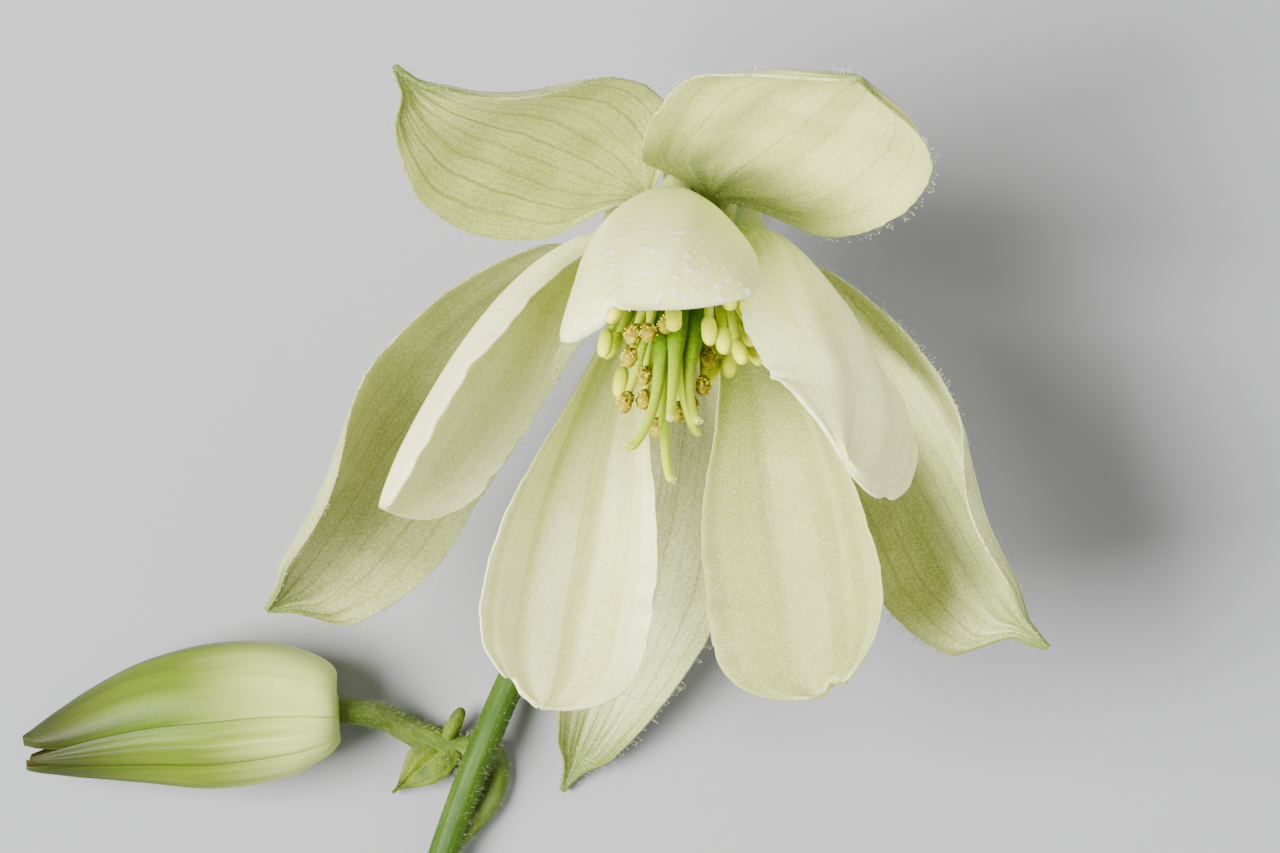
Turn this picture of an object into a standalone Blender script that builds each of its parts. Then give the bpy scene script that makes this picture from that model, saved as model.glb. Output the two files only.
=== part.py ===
"""A cut spray of white columbine that lies face up: an open flower on its stalk, and a bud on a side branch.

Lengths are in millimetres and angles in degrees; MM turns lengths into metres as meshes are made.
X runs to the right of the face-up flower, Y away from the cut end and Z up from the surface it lies on.
"""

import math
from dataclasses import dataclass

import bmesh
import bpy
import numpy as np

MM = 0.001

# Where things stand: the spray's middle in plan, then the flower's own frame
SPRAY_MIDDLE = (-5.658, -8.609)
RECEPTACLE = (2.26, 9.65, 13.0)
FLOWER_AXIS = (-0.06, -0.764, 0.643)

# Thickness of flat tissue, and the resolution of its faces
BLADE_THICKNESS = 0.6
WELD = 0.001
SEPAL_COLUMNS = 6
SEPAL_ROWS = 14
PETAL_COLUMNS = 8
PETAL_ROWS = 14
SPINE_STEPS = 240

# Sepals start round the receptacle, petals outside the stamens
SEPAL_START = (1.9, -0.2)
SEPAL_CLAW_END = 0.2
SEPAL_LEAST_HALF_WIDTH = 0.35
PETAL_START = (3.4, 0.6)
PETAL_LEAST_HALF_WIDTH = 0.5
PETAL_END_POWER = 2.4
PETAL_ROW_CROWDING = 0.75
MARGIN_WAVES = 3.5
MARGIN_WAVE_HEIGHT = 0.22
MARGIN_WAVE_SLANT = 2.0

# A spur: distance from the axis, height along it and radius at each point
SPUR_ROUTE = (
    (3.55, 2.1, 0.55),
    (3.5, 0.9, 0.7),
    (3.5, -0.6, 0.64),
    (3.6, -1.9, 0.8),
    (3.35, -3.1, 0.95),
    (2.75, -3.75, 0.8),
    (2.35, -3.9, 0.3),
)
SPUR_SIDES = 8

# Stalk and side branch: x, y, z and radius at each point, the cut end last
STALK_ROUTE = (
    (2.32, 10.3, 12.5, 0.7),
    (2.43, 11.95, 11.1, 0.68),
    (2.9, 13.6, 8.6, 0.68),
    (3.6, 13.9, 5.2, 0.7),
    (4.2, 12.2, 2.0, 0.72),
    (4.1, 8.9, 0.7, 0.74),
    (2.4, 3.4, 0.68, 0.75),
    (-1.8, -4.0, 0.95, 0.76),
    (-6.1, -12.0, 1.75, 0.77),
    (-8.2, -16.7, 2.25, 0.78),
    (-9.9, -21.2, 1.6, 0.79),
    (-12.0, -27.5, 0.76, 0.8),
    (-14.3, -34.5, 0.76, 0.82),
)
BRANCH_ROUTE = (
    (-10.3, -22.3, 1.4, 0.5),
    (-9.2, -21.1, 1.0, 0.62),
    (-8.0, -19.7, 0.68, 0.66),
    (-7.55, -18.2, 0.64, 0.67),
    (-7.95, -17.1, 0.64, 0.67),
    (-9.3, -16.85, 0.66, 0.7),
    (-10.7, -16.6, 0.8, 0.82),
    (-12.0, -15.95, 1.1, 0.72),
    (-13.3, -15.25, 2.0, 0.68),
    (-14.5, -14.9, 3.0, 0.68),
    (-15.66, -14.8, 3.46, 0.7),
)
ROUTE_STEP = 1.6
STALK_SIDES = 8
RECEPTACLE_RADIUS = 1.5
RECEPTACLE_LENGTH = 1.1
RECEPTACLE_HEIGHT = -0.35

# Bracts at the side branch's node: the broad one's base, tip, half width and rise, then the nub's base,
# tip and radius
LOWER_BRACT = ((-10.25, -17.95, 0.9), (-13.0, -19.3, 0.35), 0.95, 0.5)
UPPER_BRACT = ((-9.95, -15.9, 1.15), (-9.25, -14.7, 1.75), 0.42)
BRACT_COLUMNS = 4
BRACT_ROWS = 5
BRACT_BASE_WIDTH = 0.25
BRACT_LEAST_WIDTH = 0.3
BRACT_CURL = 0.6
NUB_SIDES = 8
NUB_RINGS = 6

# Stamens: turn round the axis, and the distance and height at which each filament ends
FRESH_STAMENS = (
    (-97, 4.1, 5.3),
    (-88, 3.5, 7.0),
    (-72, 3.8, 6.0),
    (-58, 3.4, 6.6),
    (-40, 3.8, 6.9),
    (-20, 3.6, 6.4),
    (-2, 3.4, 8.3),
    (14, 3.8, 6.8),
    (31, 3.1, 8.1),
    (43, 3.5, 6.1),
    (47, 3.2, 8.4),
    (56, 3.75, 5.9),
    (72, 3.7, 6.9),
    (89, 3.0, 7.2),
    (100, 3.7, 6.4),
    (124, 3.1, 6.3),
    (139, 2.9, 6.4),
    (-112, 3.3, 6.0),
    (-131, 3.6, 7.3),
)
SPENT_STAMENS = (
    (-126, 1.85, 8.1),
    (-133, 2.0, 9.4),
    (-119, 2.6, 9.7),
    (-64, 2.35, 8.8),
    (-52, 2.5, 7.7),
    (-38, 2.2, 7.8),
    (-12, 2.1, 7.4),
    (122, 1.8, 6.9),
    (131, 1.85, 8.4),
    (163, 1.85, 7.1),
    (156, 1.95, 9.2),
    (171, 2.0, 9.6),
    (-157, 2.05, 10.7),
)
FOOT_HEIGHT = 0.6
FOOT_STEPS = 40
FOOT_SIDES = 6
FILAMENT_RADIUS = 0.3
FILAMENT_SIDES = 4
# How far out and how far up a filament has come at each of its points, as shares
FILAMENT_BEND = ((0.0, 0.0), (0.25, 0.4), (0.6, 0.75), (1.0, 1.0))
# How far beyond the filament's end an anther's middle lies, as a share of its length
ANTHER_SHIFT = 0.3

# Carpels: a carpel's distance from the axis, height and radius at each point, up to where its style starts
CARPEL_BODY = (
    (0.46, 0.6, 0.34),
    (0.62, 2.6, 0.46),
    (0.78, 5.2, 0.52),
    (0.8, 7.4, 0.47),
    (0.76, 8.8, 0.35),
)
# Each carpel's turn, and the turn, distance and height of its style's tip
CARPEL_TIPS = (
    (0, 0, 1.6, 13.4),
    (72, 72, 1.5, 12.6),
    (144, 144, 2.2, 11.5),
    (216, 150, 0.6, 15.6),
    (288, 288, 2.2, 14.6),
)
# How far out and how far up a style has come at each of its points, as shares
STYLE_BEND = ((0.06, 0.35), (0.3, 0.7), (0.68, 0.95), (1.0, 1.0))
STYLE_RADIUS = 0.3
CARPEL_SIDES = 7
CARPEL_FOOT = 0.8
CARPEL_FOOT_HEIGHT = 0.75
ROUND_SIDES = 10
ROUND_RINGS = 6
ANTHER_SIDES = 6
ANTHER_RINGS = 4
NEARLY_UPRIGHT = 0.9

# The bud: its middle line (x, y, height of its middle) and radius at each point, base first
BUD_ROUTE = (
    (-15.8, -14.8, 3.5, 0.95),
    (-16.1, -14.75, 3.52, 2.2),
    (-17.4, -14.65, 3.6, 3.0),
    (-19.6, -14.8, 3.68, 3.55),
    (-22.3, -15.05, 3.7, 3.62),
    (-25.0, -15.35, 3.65, 3.2),
    (-27.4, -15.85, 3.6, 2.55),
    (-29.5, -16.4, 3.55, 1.85),
    (-31.1, -16.8, 3.5, 1.25),
    (-32.0, -16.9, 3.5, 0.95),
)
# Where the seams run round the bud, from its upper side towards the cut end, and how far each sepal reaches
BUD_SEAMS = (3.0, 43.0, 115.0, 187.0, 259.0)
BUD_REACH = (0.96, 1.0, 0.97, 0.94, 1.0)
BUD_SEAM = 0.34
BUD_BULGE = 0.05
BUD_COLUMNS = 6
BUD_ROWS = 14
BUD_TIP_START = 0.7
BUD_TIP_NARROWING = 0.6
BUD_TIP_POWER = 1.5
BUD_LOOK_AHEAD = 0.02

# The surface flattens what lies on it
TABLE_SIZE = 120.0
TABLE_DEPTH = 10.0


@dataclass(frozen=True)
class Blade:
    """A sepal or a petal's limb, by values at stations spaced evenly from its base to its tip.

    turn is its place round the flower's axis, clockwise from the top. lean is the spine's angle from
    the axis, sweep its angle to the side, roll its twist, and cup the half angle of its section's arc.
    """

    name: str
    turn: float
    length: float
    half_width: float
    lean: tuple
    sweep: tuple
    roll: tuple
    cup: tuple
    outline: tuple


@dataclass(frozen=True)
class StamenRing:
    """A ring of stamens: how far from the axis they stand, where they end and how large the anthers are."""

    name: str
    foot: float
    ends: tuple
    anther_length: float
    anther_radius: float


SEPALS = (
    Blade("sepal_upper_left", -37.5, 21.4, 6.1, (88, 77, 68, 61, 70, 98), (0, -2, 0, 0, 0, 0),
          (0, -14, -16, -12, -6, 0), (15, 24, 22, 20, 40, 60), (0.85, 1.0)),
    Blade("sepal_upper_right", 24.5, 20.4, 6.8, (88, 74, 72, 70, 64, 44), (0, 4, 4, 0, -6, -12),
          (0, 2, 4, 6, 4, 0), (15, 32, 26, 18, 24, 40), (0.58, 0.62)),
    Blade("sepal_lower_left", -110, 27.8, 6.4, (88, 64, 48, 40, 36, 50), (0, -4, -8, -10, -11, -6),
          (0, 0, 0), (15, 30, 28, 30, 60, 60), (0.85, 0.56)),
    Blade("sepal_lower_right", 111, 27.6, 6.4, (88, 64, 46, 32, 32, 58), (0, 12, 12, 4, 0, 4),
          (0, 0, 0), (15, 30, 28, 30, 60, 60), (0.95, 0.64)),
    Blade("sepal_bottom", 183, 31.2, 4.9, (88, 70, 60, 54, 52, 52), (0, 0, 3, 8, 16, 22),
          (0, 0, 0), (15, 30, 28, 30, 60, 60), (0.75, 0.85)),
)

PETALS = (
    Blade("petal_top", -8, 17.8, 6.2, (60, 36, 24, -2), (0, 0, 0, 0),
          (0, -4, -11, -16), (110, 85, 70, 55), (0.28, 0.42, 0.8)),
    Blade("petal_left", -79, 19.6, 5.3, (60, 32, 24, 20), (0, -14, -24, -36),
          (0, -10, -14, -10), (110, 80, 60, 45), (0.3, 0.6, 0.8)),
    Blade("petal_right", 66, 17.6, 5.1, (60, 25, 9, -15), (0, 8, 17, -25),
          (0, -22, -25, -20), (110, 87, 34, 17), (0.28, 0.49, 0.68)),
    Blade("petal_lower_left", -150.5, 23.6, 4.9, (60, 26, 16, 8), (0, -1, -2, -2),
          (0, 0, 0), (110, 80, 45, 25), (0.34, 0.7, 0.8)),
    Blade("petal_lower_right", 141.5, 23.3, 5.8, (60, 27, 16, 8), (0, -1, -1, -1),
          (0, 0, 0), (110, 80, 58, 36), (0.34, 0.65, 0.8)),
)

STAMENS = (
    StamenRing("stamens_fresh", 2.25, FRESH_STAMENS, 1.7, 0.55),
    StamenRing("stamens_spent", 1.5, SPENT_STAMENS, 1.4, 0.45),
)

CREAM = (0.86, 0.87, 0.76, 1.0)
PETAL_WHITE = (0.90, 0.90, 0.82, 1.0)
STALK_GREEN = (0.25, 0.36, 0.12, 1.0)
BUD_GREEN = (0.52, 0.62, 0.30, 1.0)
BRACT_GREEN = (0.45, 0.52, 0.18, 1.0)
POLLEN_YELLOW = (0.82, 0.78, 0.36, 1.0)
SPENT_BROWN = (0.52, 0.44, 0.22, 1.0)
CARPEL_GREEN = (0.48, 0.62, 0.26, 1.0)
ROUGH_STALK = 0.6
ROUGH_SEPAL = 0.5
ROUGH_PETAL = 0.45
ROUGH_ANTHER = 0.6
ROUGH_SPENT = 0.7
ROUGH_CARPEL = 0.5


def clear_scene():
    """Removes whatever the scene holds."""
    for found in list(bpy.data.objects):
        bpy.data.objects.remove(found, do_unlink=True)


def new_collection(name):
    """A collection of that name in the scene."""
    collection = bpy.data.collections.new(name)
    bpy.context.scene.collection.children.link(collection)
    return collection


def new_material(name, colour, roughness):
    """A plain Principled finish for plant tissue."""
    material = bpy.data.materials.new(name)
    material.use_nodes = True
    shader = material.node_tree.nodes["Principled BSDF"]
    shader.inputs["Base Color"].default_value = colour
    shader.inputs["Roughness"].default_value = roughness
    shader.inputs["Metallic"].default_value = 0.0
    return material


def unit(vector):
    """The vector or rows of vectors at length one."""
    vector = np.asarray(vector, float)
    return vector / np.linalg.norm(vector, axis=-1, keepdims=True)


def through(values, t):
    """A smooth curve through evenly spaced values, read at t from 0 to 1 (Catmull-Rom)."""
    values = np.asarray(values, float)
    last = len(values) - 1
    padded = np.concatenate([[2 * values[0] - values[1]], values, [2 * values[-1] - values[-2]]])
    place = np.clip(t, 0.0, 1.0) * last
    left = np.minimum(np.floor(place).astype(int), last - 1)
    part = place - left
    if values.ndim > 1:
        part = np.asarray(part)[..., None]
    before, start, end, after = (padded[left + k] for k in range(4))
    return 0.5 * (
        2 * start
        + (end - before) * part
        + (2 * before - 5 * start + 4 * end - after) * part**2
        + (3 * start - before - 3 * end + after) * part**3
    )


def smooth_rise(x):
    """Goes from 0 to 1 with level ends."""
    x = np.clip(x, 0.0, 1.0)
    return x * x * (3.0 - 2.0 * x)


AXIS = unit(FLOWER_AXIS)
ACROSS = unit(np.array([1.0, 0.0, 0.0]) - AXIS[0] * AXIS)
UPWARD = np.cross(AXIS, ACROSS)


def outward(turn):
    """The direction away from the flower's axis at that turn."""
    angle = math.radians(turn)
    return math.cos(angle) * UPWARD + math.sin(angle) * ACROSS


def in_flower(turn, distance, height):
    """A point by its turn, distance from the flower's axis and height along it."""
    return np.array(RECEPTACLE) + distance * outward(turn) + height * AXIS


def blade_frame(blade, start):
    """Points along a blade's spine, with the directions into the flower and across the blade."""
    t = np.linspace(0.0, 1.0, SPINE_STEPS)
    angles = (blade.lean, blade.sweep, blade.roll)
    lean, sweep, roll = (np.radians(through(values, t))[:, None] for values in angles)
    away = outward(blade.turn)
    along_ring = outward(blade.turn + 90.0)
    forward = np.sin(lean) * away + np.cos(lean) * AXIS
    tangent = np.cos(sweep) * forward + np.sin(sweep) * along_ring
    inner = -np.cos(lean) * away + np.sin(lean) * AXIS
    side = np.cos(sweep) * along_ring - np.sin(sweep) * forward
    rolled_side = np.cos(roll) * side + np.sin(roll) * inner
    rolled_inner = np.cos(roll) * inner - np.sin(roll) * side
    steps = (tangent[1:] + tangent[:-1]) * 0.5 * blade.length / (SPINE_STEPS - 1)
    spine = np.concatenate([np.zeros((1, 3)), np.cumsum(steps, axis=0)])
    return t, spine + in_flower(blade.turn, *start), rolled_inner, rolled_side


def sepal_half_width(blade, t):
    """Half the sepal's width: a narrow claw, a belly and a pointed tip."""
    belly, taper = blade.outline
    peak = belly / (belly + taper)
    shape = t**belly * (1.0 - t) ** taper / (peak**belly * (1.0 - peak) ** taper)
    claw = smooth_rise(t / SEPAL_CLAW_END)
    return max(blade.half_width * shape * claw, SEPAL_LEAST_HALF_WIDTH * (2.0 - t))


def petal_half_width(blade, t):
    """Half the limb's width: a throat that opens to full width, then a rounded end."""
    throat, opened, rounding = blade.outline
    width = throat + (1.0 - throat) * smooth_rise(t / opened)
    past = max(0.0, (t - rounding) / (1.0 - rounding))
    end = math.sqrt(max(0.0, 1.0 - past**PETAL_END_POWER))
    return max(blade.half_width * width * end, PETAL_LEAST_HALF_WIDTH)


def petal_row(t):
    """Crowds the limb's rows towards its rounded end."""
    return t + (math.sin(math.pi * t / 2.0) - t) * PETAL_ROW_CROWDING


def margin_wave(u, t):
    """How far a limb's free margin waves in and out of its face."""
    height = MARGIN_WAVE_HEIGHT * math.sin(math.pi * t) * t * abs(u) ** 3
    return height * math.sin(2.0 * math.pi * MARGIN_WAVES * t + MARGIN_WAVE_SLANT * u)


def blade_surface(blade, start, half_width, row, wave):
    """A function from u across (-1 to 1) and t along (0 to 1) to a point on the blade's inner face."""
    steps, spine, inner, side = blade_frame(blade, start)

    def point(u, t):
        t = row(t)
        at, into, across = (
            np.array([np.interp(t, steps, rows[:, k]) for k in range(3)]) for rows in (spine, inner, side)
        )
        arc = math.radians(float(through(blade.cup, t)))
        radius = half_width(blade, t) / arc
        sideways = radius * math.sin(u * arc)
        inwards = radius * (1.0 - math.cos(u * arc)) + wave(u, t)
        return at + sideways * across + inwards * into

    return point


def grid_object(name, collection, columns, rows, point, material):
    """A grid from Blender's own, with its points moved by the function and its faces split alike."""
    mesh = bpy.data.meshes.new(name)
    grid = bmesh.new()
    bmesh.ops.create_grid(grid, x_segments=columns, y_segments=rows, size=1.0)
    for vertex in grid.verts:
        vertex.co = point(vertex.co.x, (vertex.co.y + 1.0) / 2.0) * MM
    bmesh.ops.triangulate(grid, faces=grid.faces[:], quad_method="FIXED")
    grid.to_mesh(mesh)
    grid.free()
    mesh.shade_smooth()
    made = bpy.data.objects.new(name, mesh)
    made.data.materials.append(material)
    collection.objects.link(made)
    return made


def thicken(made, thickness, offset):
    """Gives an open surface its thickness, on its outer side for an offset of -1."""
    solid = made.modifiers.new("Thickness", "SOLIDIFY")
    solid.thickness = thickness * MM
    solid.offset = offset
    return made


def tube(name, collection, route, sides, material=None, ring=False):
    """A solid tube through points of x, y, z and radius, as a mesh. A ring runs back to its first point."""
    curve = bpy.data.curves.new(name, "CURVE")
    curve.dimensions = "3D"
    curve.bevel_depth = MM
    curve.bevel_resolution = (sides - 4) // 2
    curve.use_fill_caps = True
    spline = curve.splines.new("POLY")
    spline.use_cyclic_u = ring
    spline.points.add(len(route) - 1)
    for spot, (x, y, z, radius) in zip(spline.points, route):
        spot.co = (x * MM, y * MM, z * MM, 1.0)
        spot.radius = radius
    drawn = bpy.data.objects.new(name + "_curve", curve)
    collection.objects.link(drawn)
    graph = bpy.context.evaluated_depsgraph_get()
    mesh = bpy.data.meshes.new_from_object(drawn.evaluated_get(graph))
    bpy.data.objects.remove(drawn, do_unlink=True)
    welded = bmesh.new()
    welded.from_mesh(mesh)
    bmesh.ops.remove_doubles(welded, verts=welded.verts[:], dist=WELD * MM)
    bmesh.ops.recalc_face_normals(welded, faces=welded.faces[:])
    welded.to_mesh(mesh)
    welded.free()
    mesh.shade_smooth()
    made = bpy.data.objects.new(name, mesh)
    made.data.materials.clear()
    if material:
        made.data.materials.append(material)
    collection.objects.link(made)
    return made


def spaced(route, step):
    """The route as points about a step apart on a smooth curve through it."""
    route = np.asarray(route, float)
    length = np.linalg.norm(np.diff(route[:, :3], axis=0), axis=1).sum()
    return through(route, np.linspace(0.0, 1.0, max(3, round(length / step) + 1)))


def ellipsoid(name, collection, centre, direction, length, radius, sides, rings):
    """A round body of that length along the direction."""
    mesh = bpy.data.meshes.new(name)
    ball = bmesh.new()
    bmesh.ops.create_uvsphere(ball, u_segments=sides, v_segments=rings, radius=1.0)
    long_way = unit(direction)
    helper = np.array([0.0, 0.0, 1.0]) if abs(long_way[2]) < NEARLY_UPRIGHT else np.array([1.0, 0.0, 0.0])
    first = unit(np.cross(helper, long_way))
    second = np.cross(long_way, first)
    for vertex in ball.verts:
        x, y, z = vertex.co
        spot = centre + radius * (x * first + y * second) + 0.5 * length * z * long_way
        vertex.co = spot * MM
    ball.to_mesh(mesh)
    ball.free()
    made = bpy.data.objects.new(name, mesh)
    collection.objects.link(made)
    return made


def fuse(made, repeats):
    """Joins a collection's objects to the object in one Boolean union, then removes them."""
    union = made.modifiers.new("Union", "BOOLEAN")
    union.operation = "UNION"
    union.operand_type = "COLLECTION"
    union.collection = repeats
    union.solver = "EXACT"
    apply_modifiers(made)
    for joined in list(repeats.objects):
        bpy.data.objects.remove(joined, do_unlink=True)
    bpy.data.collections.remove(repeats)


def apply_modifiers(made):
    """Replaces the object's mesh by its evaluated one."""
    graph = bpy.context.evaluated_depsgraph_get()
    mesh = bpy.data.meshes.new_from_object(made.evaluated_get(graph))
    made.modifiers.clear()
    made.data = mesh


def flatten(made, table):
    """Cuts off what would lie below the surface."""
    cut = made.modifiers.new("Lies flat", "BOOLEAN")
    cut.operation = "DIFFERENCE"
    cut.object = table
    cut.solver = "EXACT"


def make_sepals(parts, material):
    """The five sepals of the open flower."""
    for blade in SEPALS:
        surface = blade_surface(blade, SEPAL_START, sepal_half_width, lambda t: t, lambda u, t: 0.0)
        sepal = grid_object(blade.name, parts, SEPAL_COLUMNS, SEPAL_ROWS, surface, material)
        thicken(sepal, BLADE_THICKNESS, -1.0)


def make_petals(parts, material):
    """The five petals: a limb that opens from a throat, and a short spur behind it."""
    for blade in PETALS:
        surface = blade_surface(blade, PETAL_START, petal_half_width, petal_row, margin_wave)
        petal = grid_object(blade.name, parts, PETAL_COLUMNS, PETAL_ROWS, surface, material)
        thicken(petal, BLADE_THICKNESS, -1.0)
        joined = new_collection(blade.name + "_spur")
        route = [(*in_flower(blade.turn, away, height), radius) for away, height, radius in SPUR_ROUTE]
        tube(blade.name + "_spur", joined, route, SPUR_SIDES)
        fuse(petal, joined)


def make_stamens(parts, materials):
    """Both rings of stamens, each fused to a low ring that its filaments stand on."""
    for ring, material in zip(STAMENS, materials):
        turns = np.linspace(0.0, 360.0, FOOT_STEPS, endpoint=False)
        foot = [(*in_flower(turn, ring.foot, FOOT_HEIGHT), FILAMENT_RADIUS) for turn in turns]
        base = tube(ring.name, parts, foot, FOOT_SIDES, material, ring=True)
        joined = new_collection(ring.name + "_repeats")
        for index, (turn, reach, height) in enumerate(ring.ends):
            spread, rise = reach - ring.foot, height - FOOT_HEIGHT
            points = [
                in_flower(turn, ring.foot + out * spread, FOOT_HEIGHT + up * rise)
                for out, up in FILAMENT_BEND
            ]
            route = [(*point, FILAMENT_RADIUS) for point in points]
            tube(f"{ring.name}_{index}", joined, route, FILAMENT_SIDES)
            tilt = unit(points[-1] - points[-2])
            middle = points[-1] + ANTHER_SHIFT * ring.anther_length * tilt
            length, radius = ring.anther_length, ring.anther_radius
            anther = f"{ring.name}_anther_{index}"
            ellipsoid(anther, joined, middle, tilt, length, radius, ANTHER_SIDES, ANTHER_RINGS)
        fuse(base, joined)


def make_carpels(parts, material):
    """Five carpels with their styles, fused at the foot."""
    middle = in_flower(0.0, 0.0, CARPEL_FOOT_HEIGHT)
    foot = ellipsoid("carpels", parts, middle, AXIS, CARPEL_FOOT, CARPEL_FOOT, ROUND_SIDES, ROUND_RINGS)
    foot.data.materials.append(material)
    joined = new_collection("carpels_repeats")
    for index, (turn, *tip) in enumerate(CARPEL_TIPS):
        body = [(*in_flower(turn, away, up), radius) for away, up, radius in CARPEL_BODY]
        start = np.array(body[-1][:3])
        reach = in_flower(*tip) - start
        climb = np.dot(reach, AXIS) * AXIS
        style = [(*(start + out * (reach - climb) + up * climb), STYLE_RADIUS) for out, up in STYLE_BEND]
        tube(f"carpel_{index}", joined, spaced([*body, *style], ROUTE_STEP), CARPEL_SIDES)
    fuse(foot, joined)


def make_stem(parts, table, material):
    """The stalk with its receptacle, and the side branch that leaves it."""
    stem = tube("stem", parts, spaced(STALK_ROUTE, ROUTE_STEP), STALK_SIDES, material)
    joined = new_collection("stem_repeats")
    tube("side_branch", joined, spaced(BRANCH_ROUTE, ROUTE_STEP), STALK_SIDES)
    middle = in_flower(0.0, 0.0, RECEPTACLE_HEIGHT)
    ellipsoid(
        "receptacle", joined, middle, AXIS, RECEPTACLE_LENGTH, RECEPTACLE_RADIUS, ROUND_SIDES, ROUND_RINGS
    )
    fuse(stem, joined)
    flatten(stem, table)


def make_bracts(parts, material):
    """The bracts at the side branch's node: a broad lower one, and an upper one that is only a nub."""
    base, tip, half_width, rise = LOWER_BRACT
    base, tip = np.array(base), np.array(tip)
    across = unit(np.cross(tip - base, (0.0, 0.0, 1.0)))

    def surface(u, t):
        share = math.sin(math.pi * (BRACT_BASE_WIDTH + (1.0 - BRACT_BASE_WIDTH) * t))
        width = half_width * max(BRACT_LEAST_WIDTH, share)
        lift = rise * (math.sin(math.pi * t) + BRACT_CURL * u * u)
        return base + (tip - base) * t + u * width * across + np.array([0.0, 0.0, lift])

    bract = grid_object("bract_lower", parts, BRACT_COLUMNS, BRACT_ROWS, surface, material)
    thicken(bract, BLADE_THICKNESS, 1.0)
    base, tip, radius = UPPER_BRACT
    base, tip = np.array(base), np.array(tip)
    length = np.linalg.norm(tip - base)
    middle = (base + tip) / 2.0
    nub = ellipsoid("bract_upper", parts, middle, tip - base, length, radius, NUB_SIDES, NUB_RINGS)
    nub.data.materials.append(material)


def make_bud(parts, table, material):
    """Five sepals folded round the closed bud, with a seam between each two and free tips."""
    route = np.array(BUD_ROUTE)
    for index, start in enumerate(BUD_SEAMS):
        end = BUD_SEAMS[(index + 1) % len(BUD_SEAMS)]
        share = (end - start) % 360.0

        def surface(u, t, turn=start + share / 2.0, share=share, reach=BUD_REACH[index]):
            t = t * reach
            x, y, z, radius = through(route, t)
            ahead = through(route, min(1.0, t + BUD_LOOK_AHEAD))
            behind = through(route, max(0.0, t - BUD_LOOK_AHEAD))
            along = unit(ahead[:3] - behind[:3])
            level = unit(np.cross((0.0, 0.0, 1.0), along))
            above = np.cross(along, level)
            past = max(0.0, (t / reach - BUD_TIP_START) / (1.0 - BUD_TIP_START))
            narrowing = 1.0 - BUD_TIP_NARROWING * past**BUD_TIP_POWER
            half_angle = math.radians(share / 2.0) * narrowing - BUD_SEAM / 2.0 / radius
            angle = math.radians(turn) + u * half_angle
            bulged = radius * (1.0 + BUD_BULGE * (1.0 - u * u))
            return np.array([x, y, z]) + bulged * (math.cos(angle) * above + math.sin(angle) * level)

        sepal = grid_object(f"bud_sepal_{index + 1}", parts, BUD_COLUMNS, BUD_ROWS, surface, material)
        thicken(sepal, BLADE_THICKNESS, 1.0)
        flatten(sepal, table)


def make_table(cutters):
    """The solid whose top is the surface that the spray lies on."""
    bpy.ops.mesh.primitive_cube_add(size=1.0)
    table = bpy.context.object
    table.name = "surface_cutter"
    for holder in list(table.users_collection):
        holder.objects.unlink(table)
    cutters.objects.link(table)
    for vertex in table.data.vertices:
        x, y, z = vertex.co
        vertex.co = (x * TABLE_SIZE * MM, y * TABLE_SIZE * MM, (z - 0.5) * TABLE_DEPTH * MM)
    table.hide_render = True
    table.display_type = "WIRE"
    return table


def main():
    clear_scene()
    parts = new_collection("columbine_spray")
    cutters = new_collection("cutters")
    table = make_table(cutters)
    make_stem(parts, table, new_material("stalk_green", STALK_GREEN, ROUGH_STALK))
    make_sepals(parts, new_material("sepal_cream", CREAM, ROUGH_SEPAL))
    make_petals(parts, new_material("petal_white", PETAL_WHITE, ROUGH_PETAL))
    fresh = new_material("fresh_anthers", POLLEN_YELLOW, ROUGH_ANTHER)
    spent = new_material("spent_anthers", SPENT_BROWN, ROUGH_SPENT)
    make_stamens(parts, (fresh, spent))
    make_carpels(parts, new_material("carpel_green", CARPEL_GREEN, ROUGH_CARPEL))
    make_bracts(parts, new_material("bract_green", BRACT_GREEN, ROUGH_STALK))
    make_bud(parts, table, new_material("bud_green", BUD_GREEN, ROUGH_SEPAL))
    for made in parts.objects:
        made.location = (-SPRAY_MIDDLE[0] * MM, -SPRAY_MIDDLE[1] * MM, 0.0)
    table.location = (-SPRAY_MIDDLE[0] * MM, -SPRAY_MIDDLE[1] * MM, 0.0)


if __name__ == "__main__":
    main()
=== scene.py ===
"""A cut spray of white columbine that lies face up: an open flower on its stalk, and a bud on a side branch.

Lengths are in millimetres and angles in degrees until a mesh is made, and MM turns them into metres.
X runs to the right of the face-up flower, Y away from the cut end and Z up from the surface it lies on.
"""

import logging
import math
from dataclasses import dataclass
from enum import Enum
from typing import ClassVar

import bpy
import numpy as np
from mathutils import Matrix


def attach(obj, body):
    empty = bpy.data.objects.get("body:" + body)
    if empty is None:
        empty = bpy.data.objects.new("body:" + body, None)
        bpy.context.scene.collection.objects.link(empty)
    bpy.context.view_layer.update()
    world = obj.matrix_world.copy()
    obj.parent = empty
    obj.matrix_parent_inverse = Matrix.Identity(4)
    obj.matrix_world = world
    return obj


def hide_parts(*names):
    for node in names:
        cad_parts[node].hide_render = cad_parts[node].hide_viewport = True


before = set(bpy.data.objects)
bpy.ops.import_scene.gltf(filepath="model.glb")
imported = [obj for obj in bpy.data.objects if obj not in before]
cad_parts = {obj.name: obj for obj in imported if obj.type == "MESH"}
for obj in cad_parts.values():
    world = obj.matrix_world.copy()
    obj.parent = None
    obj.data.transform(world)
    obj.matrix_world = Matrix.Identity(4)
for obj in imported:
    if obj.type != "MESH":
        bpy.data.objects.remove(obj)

MM = 0.001
# The spray's middle in plan, as the routes below are laid out. The part's own frame has its origin there.
SPRAY_MIDDLE = (-5.658, -8.609)
LOG = logging.getLogger("columbine")

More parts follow.
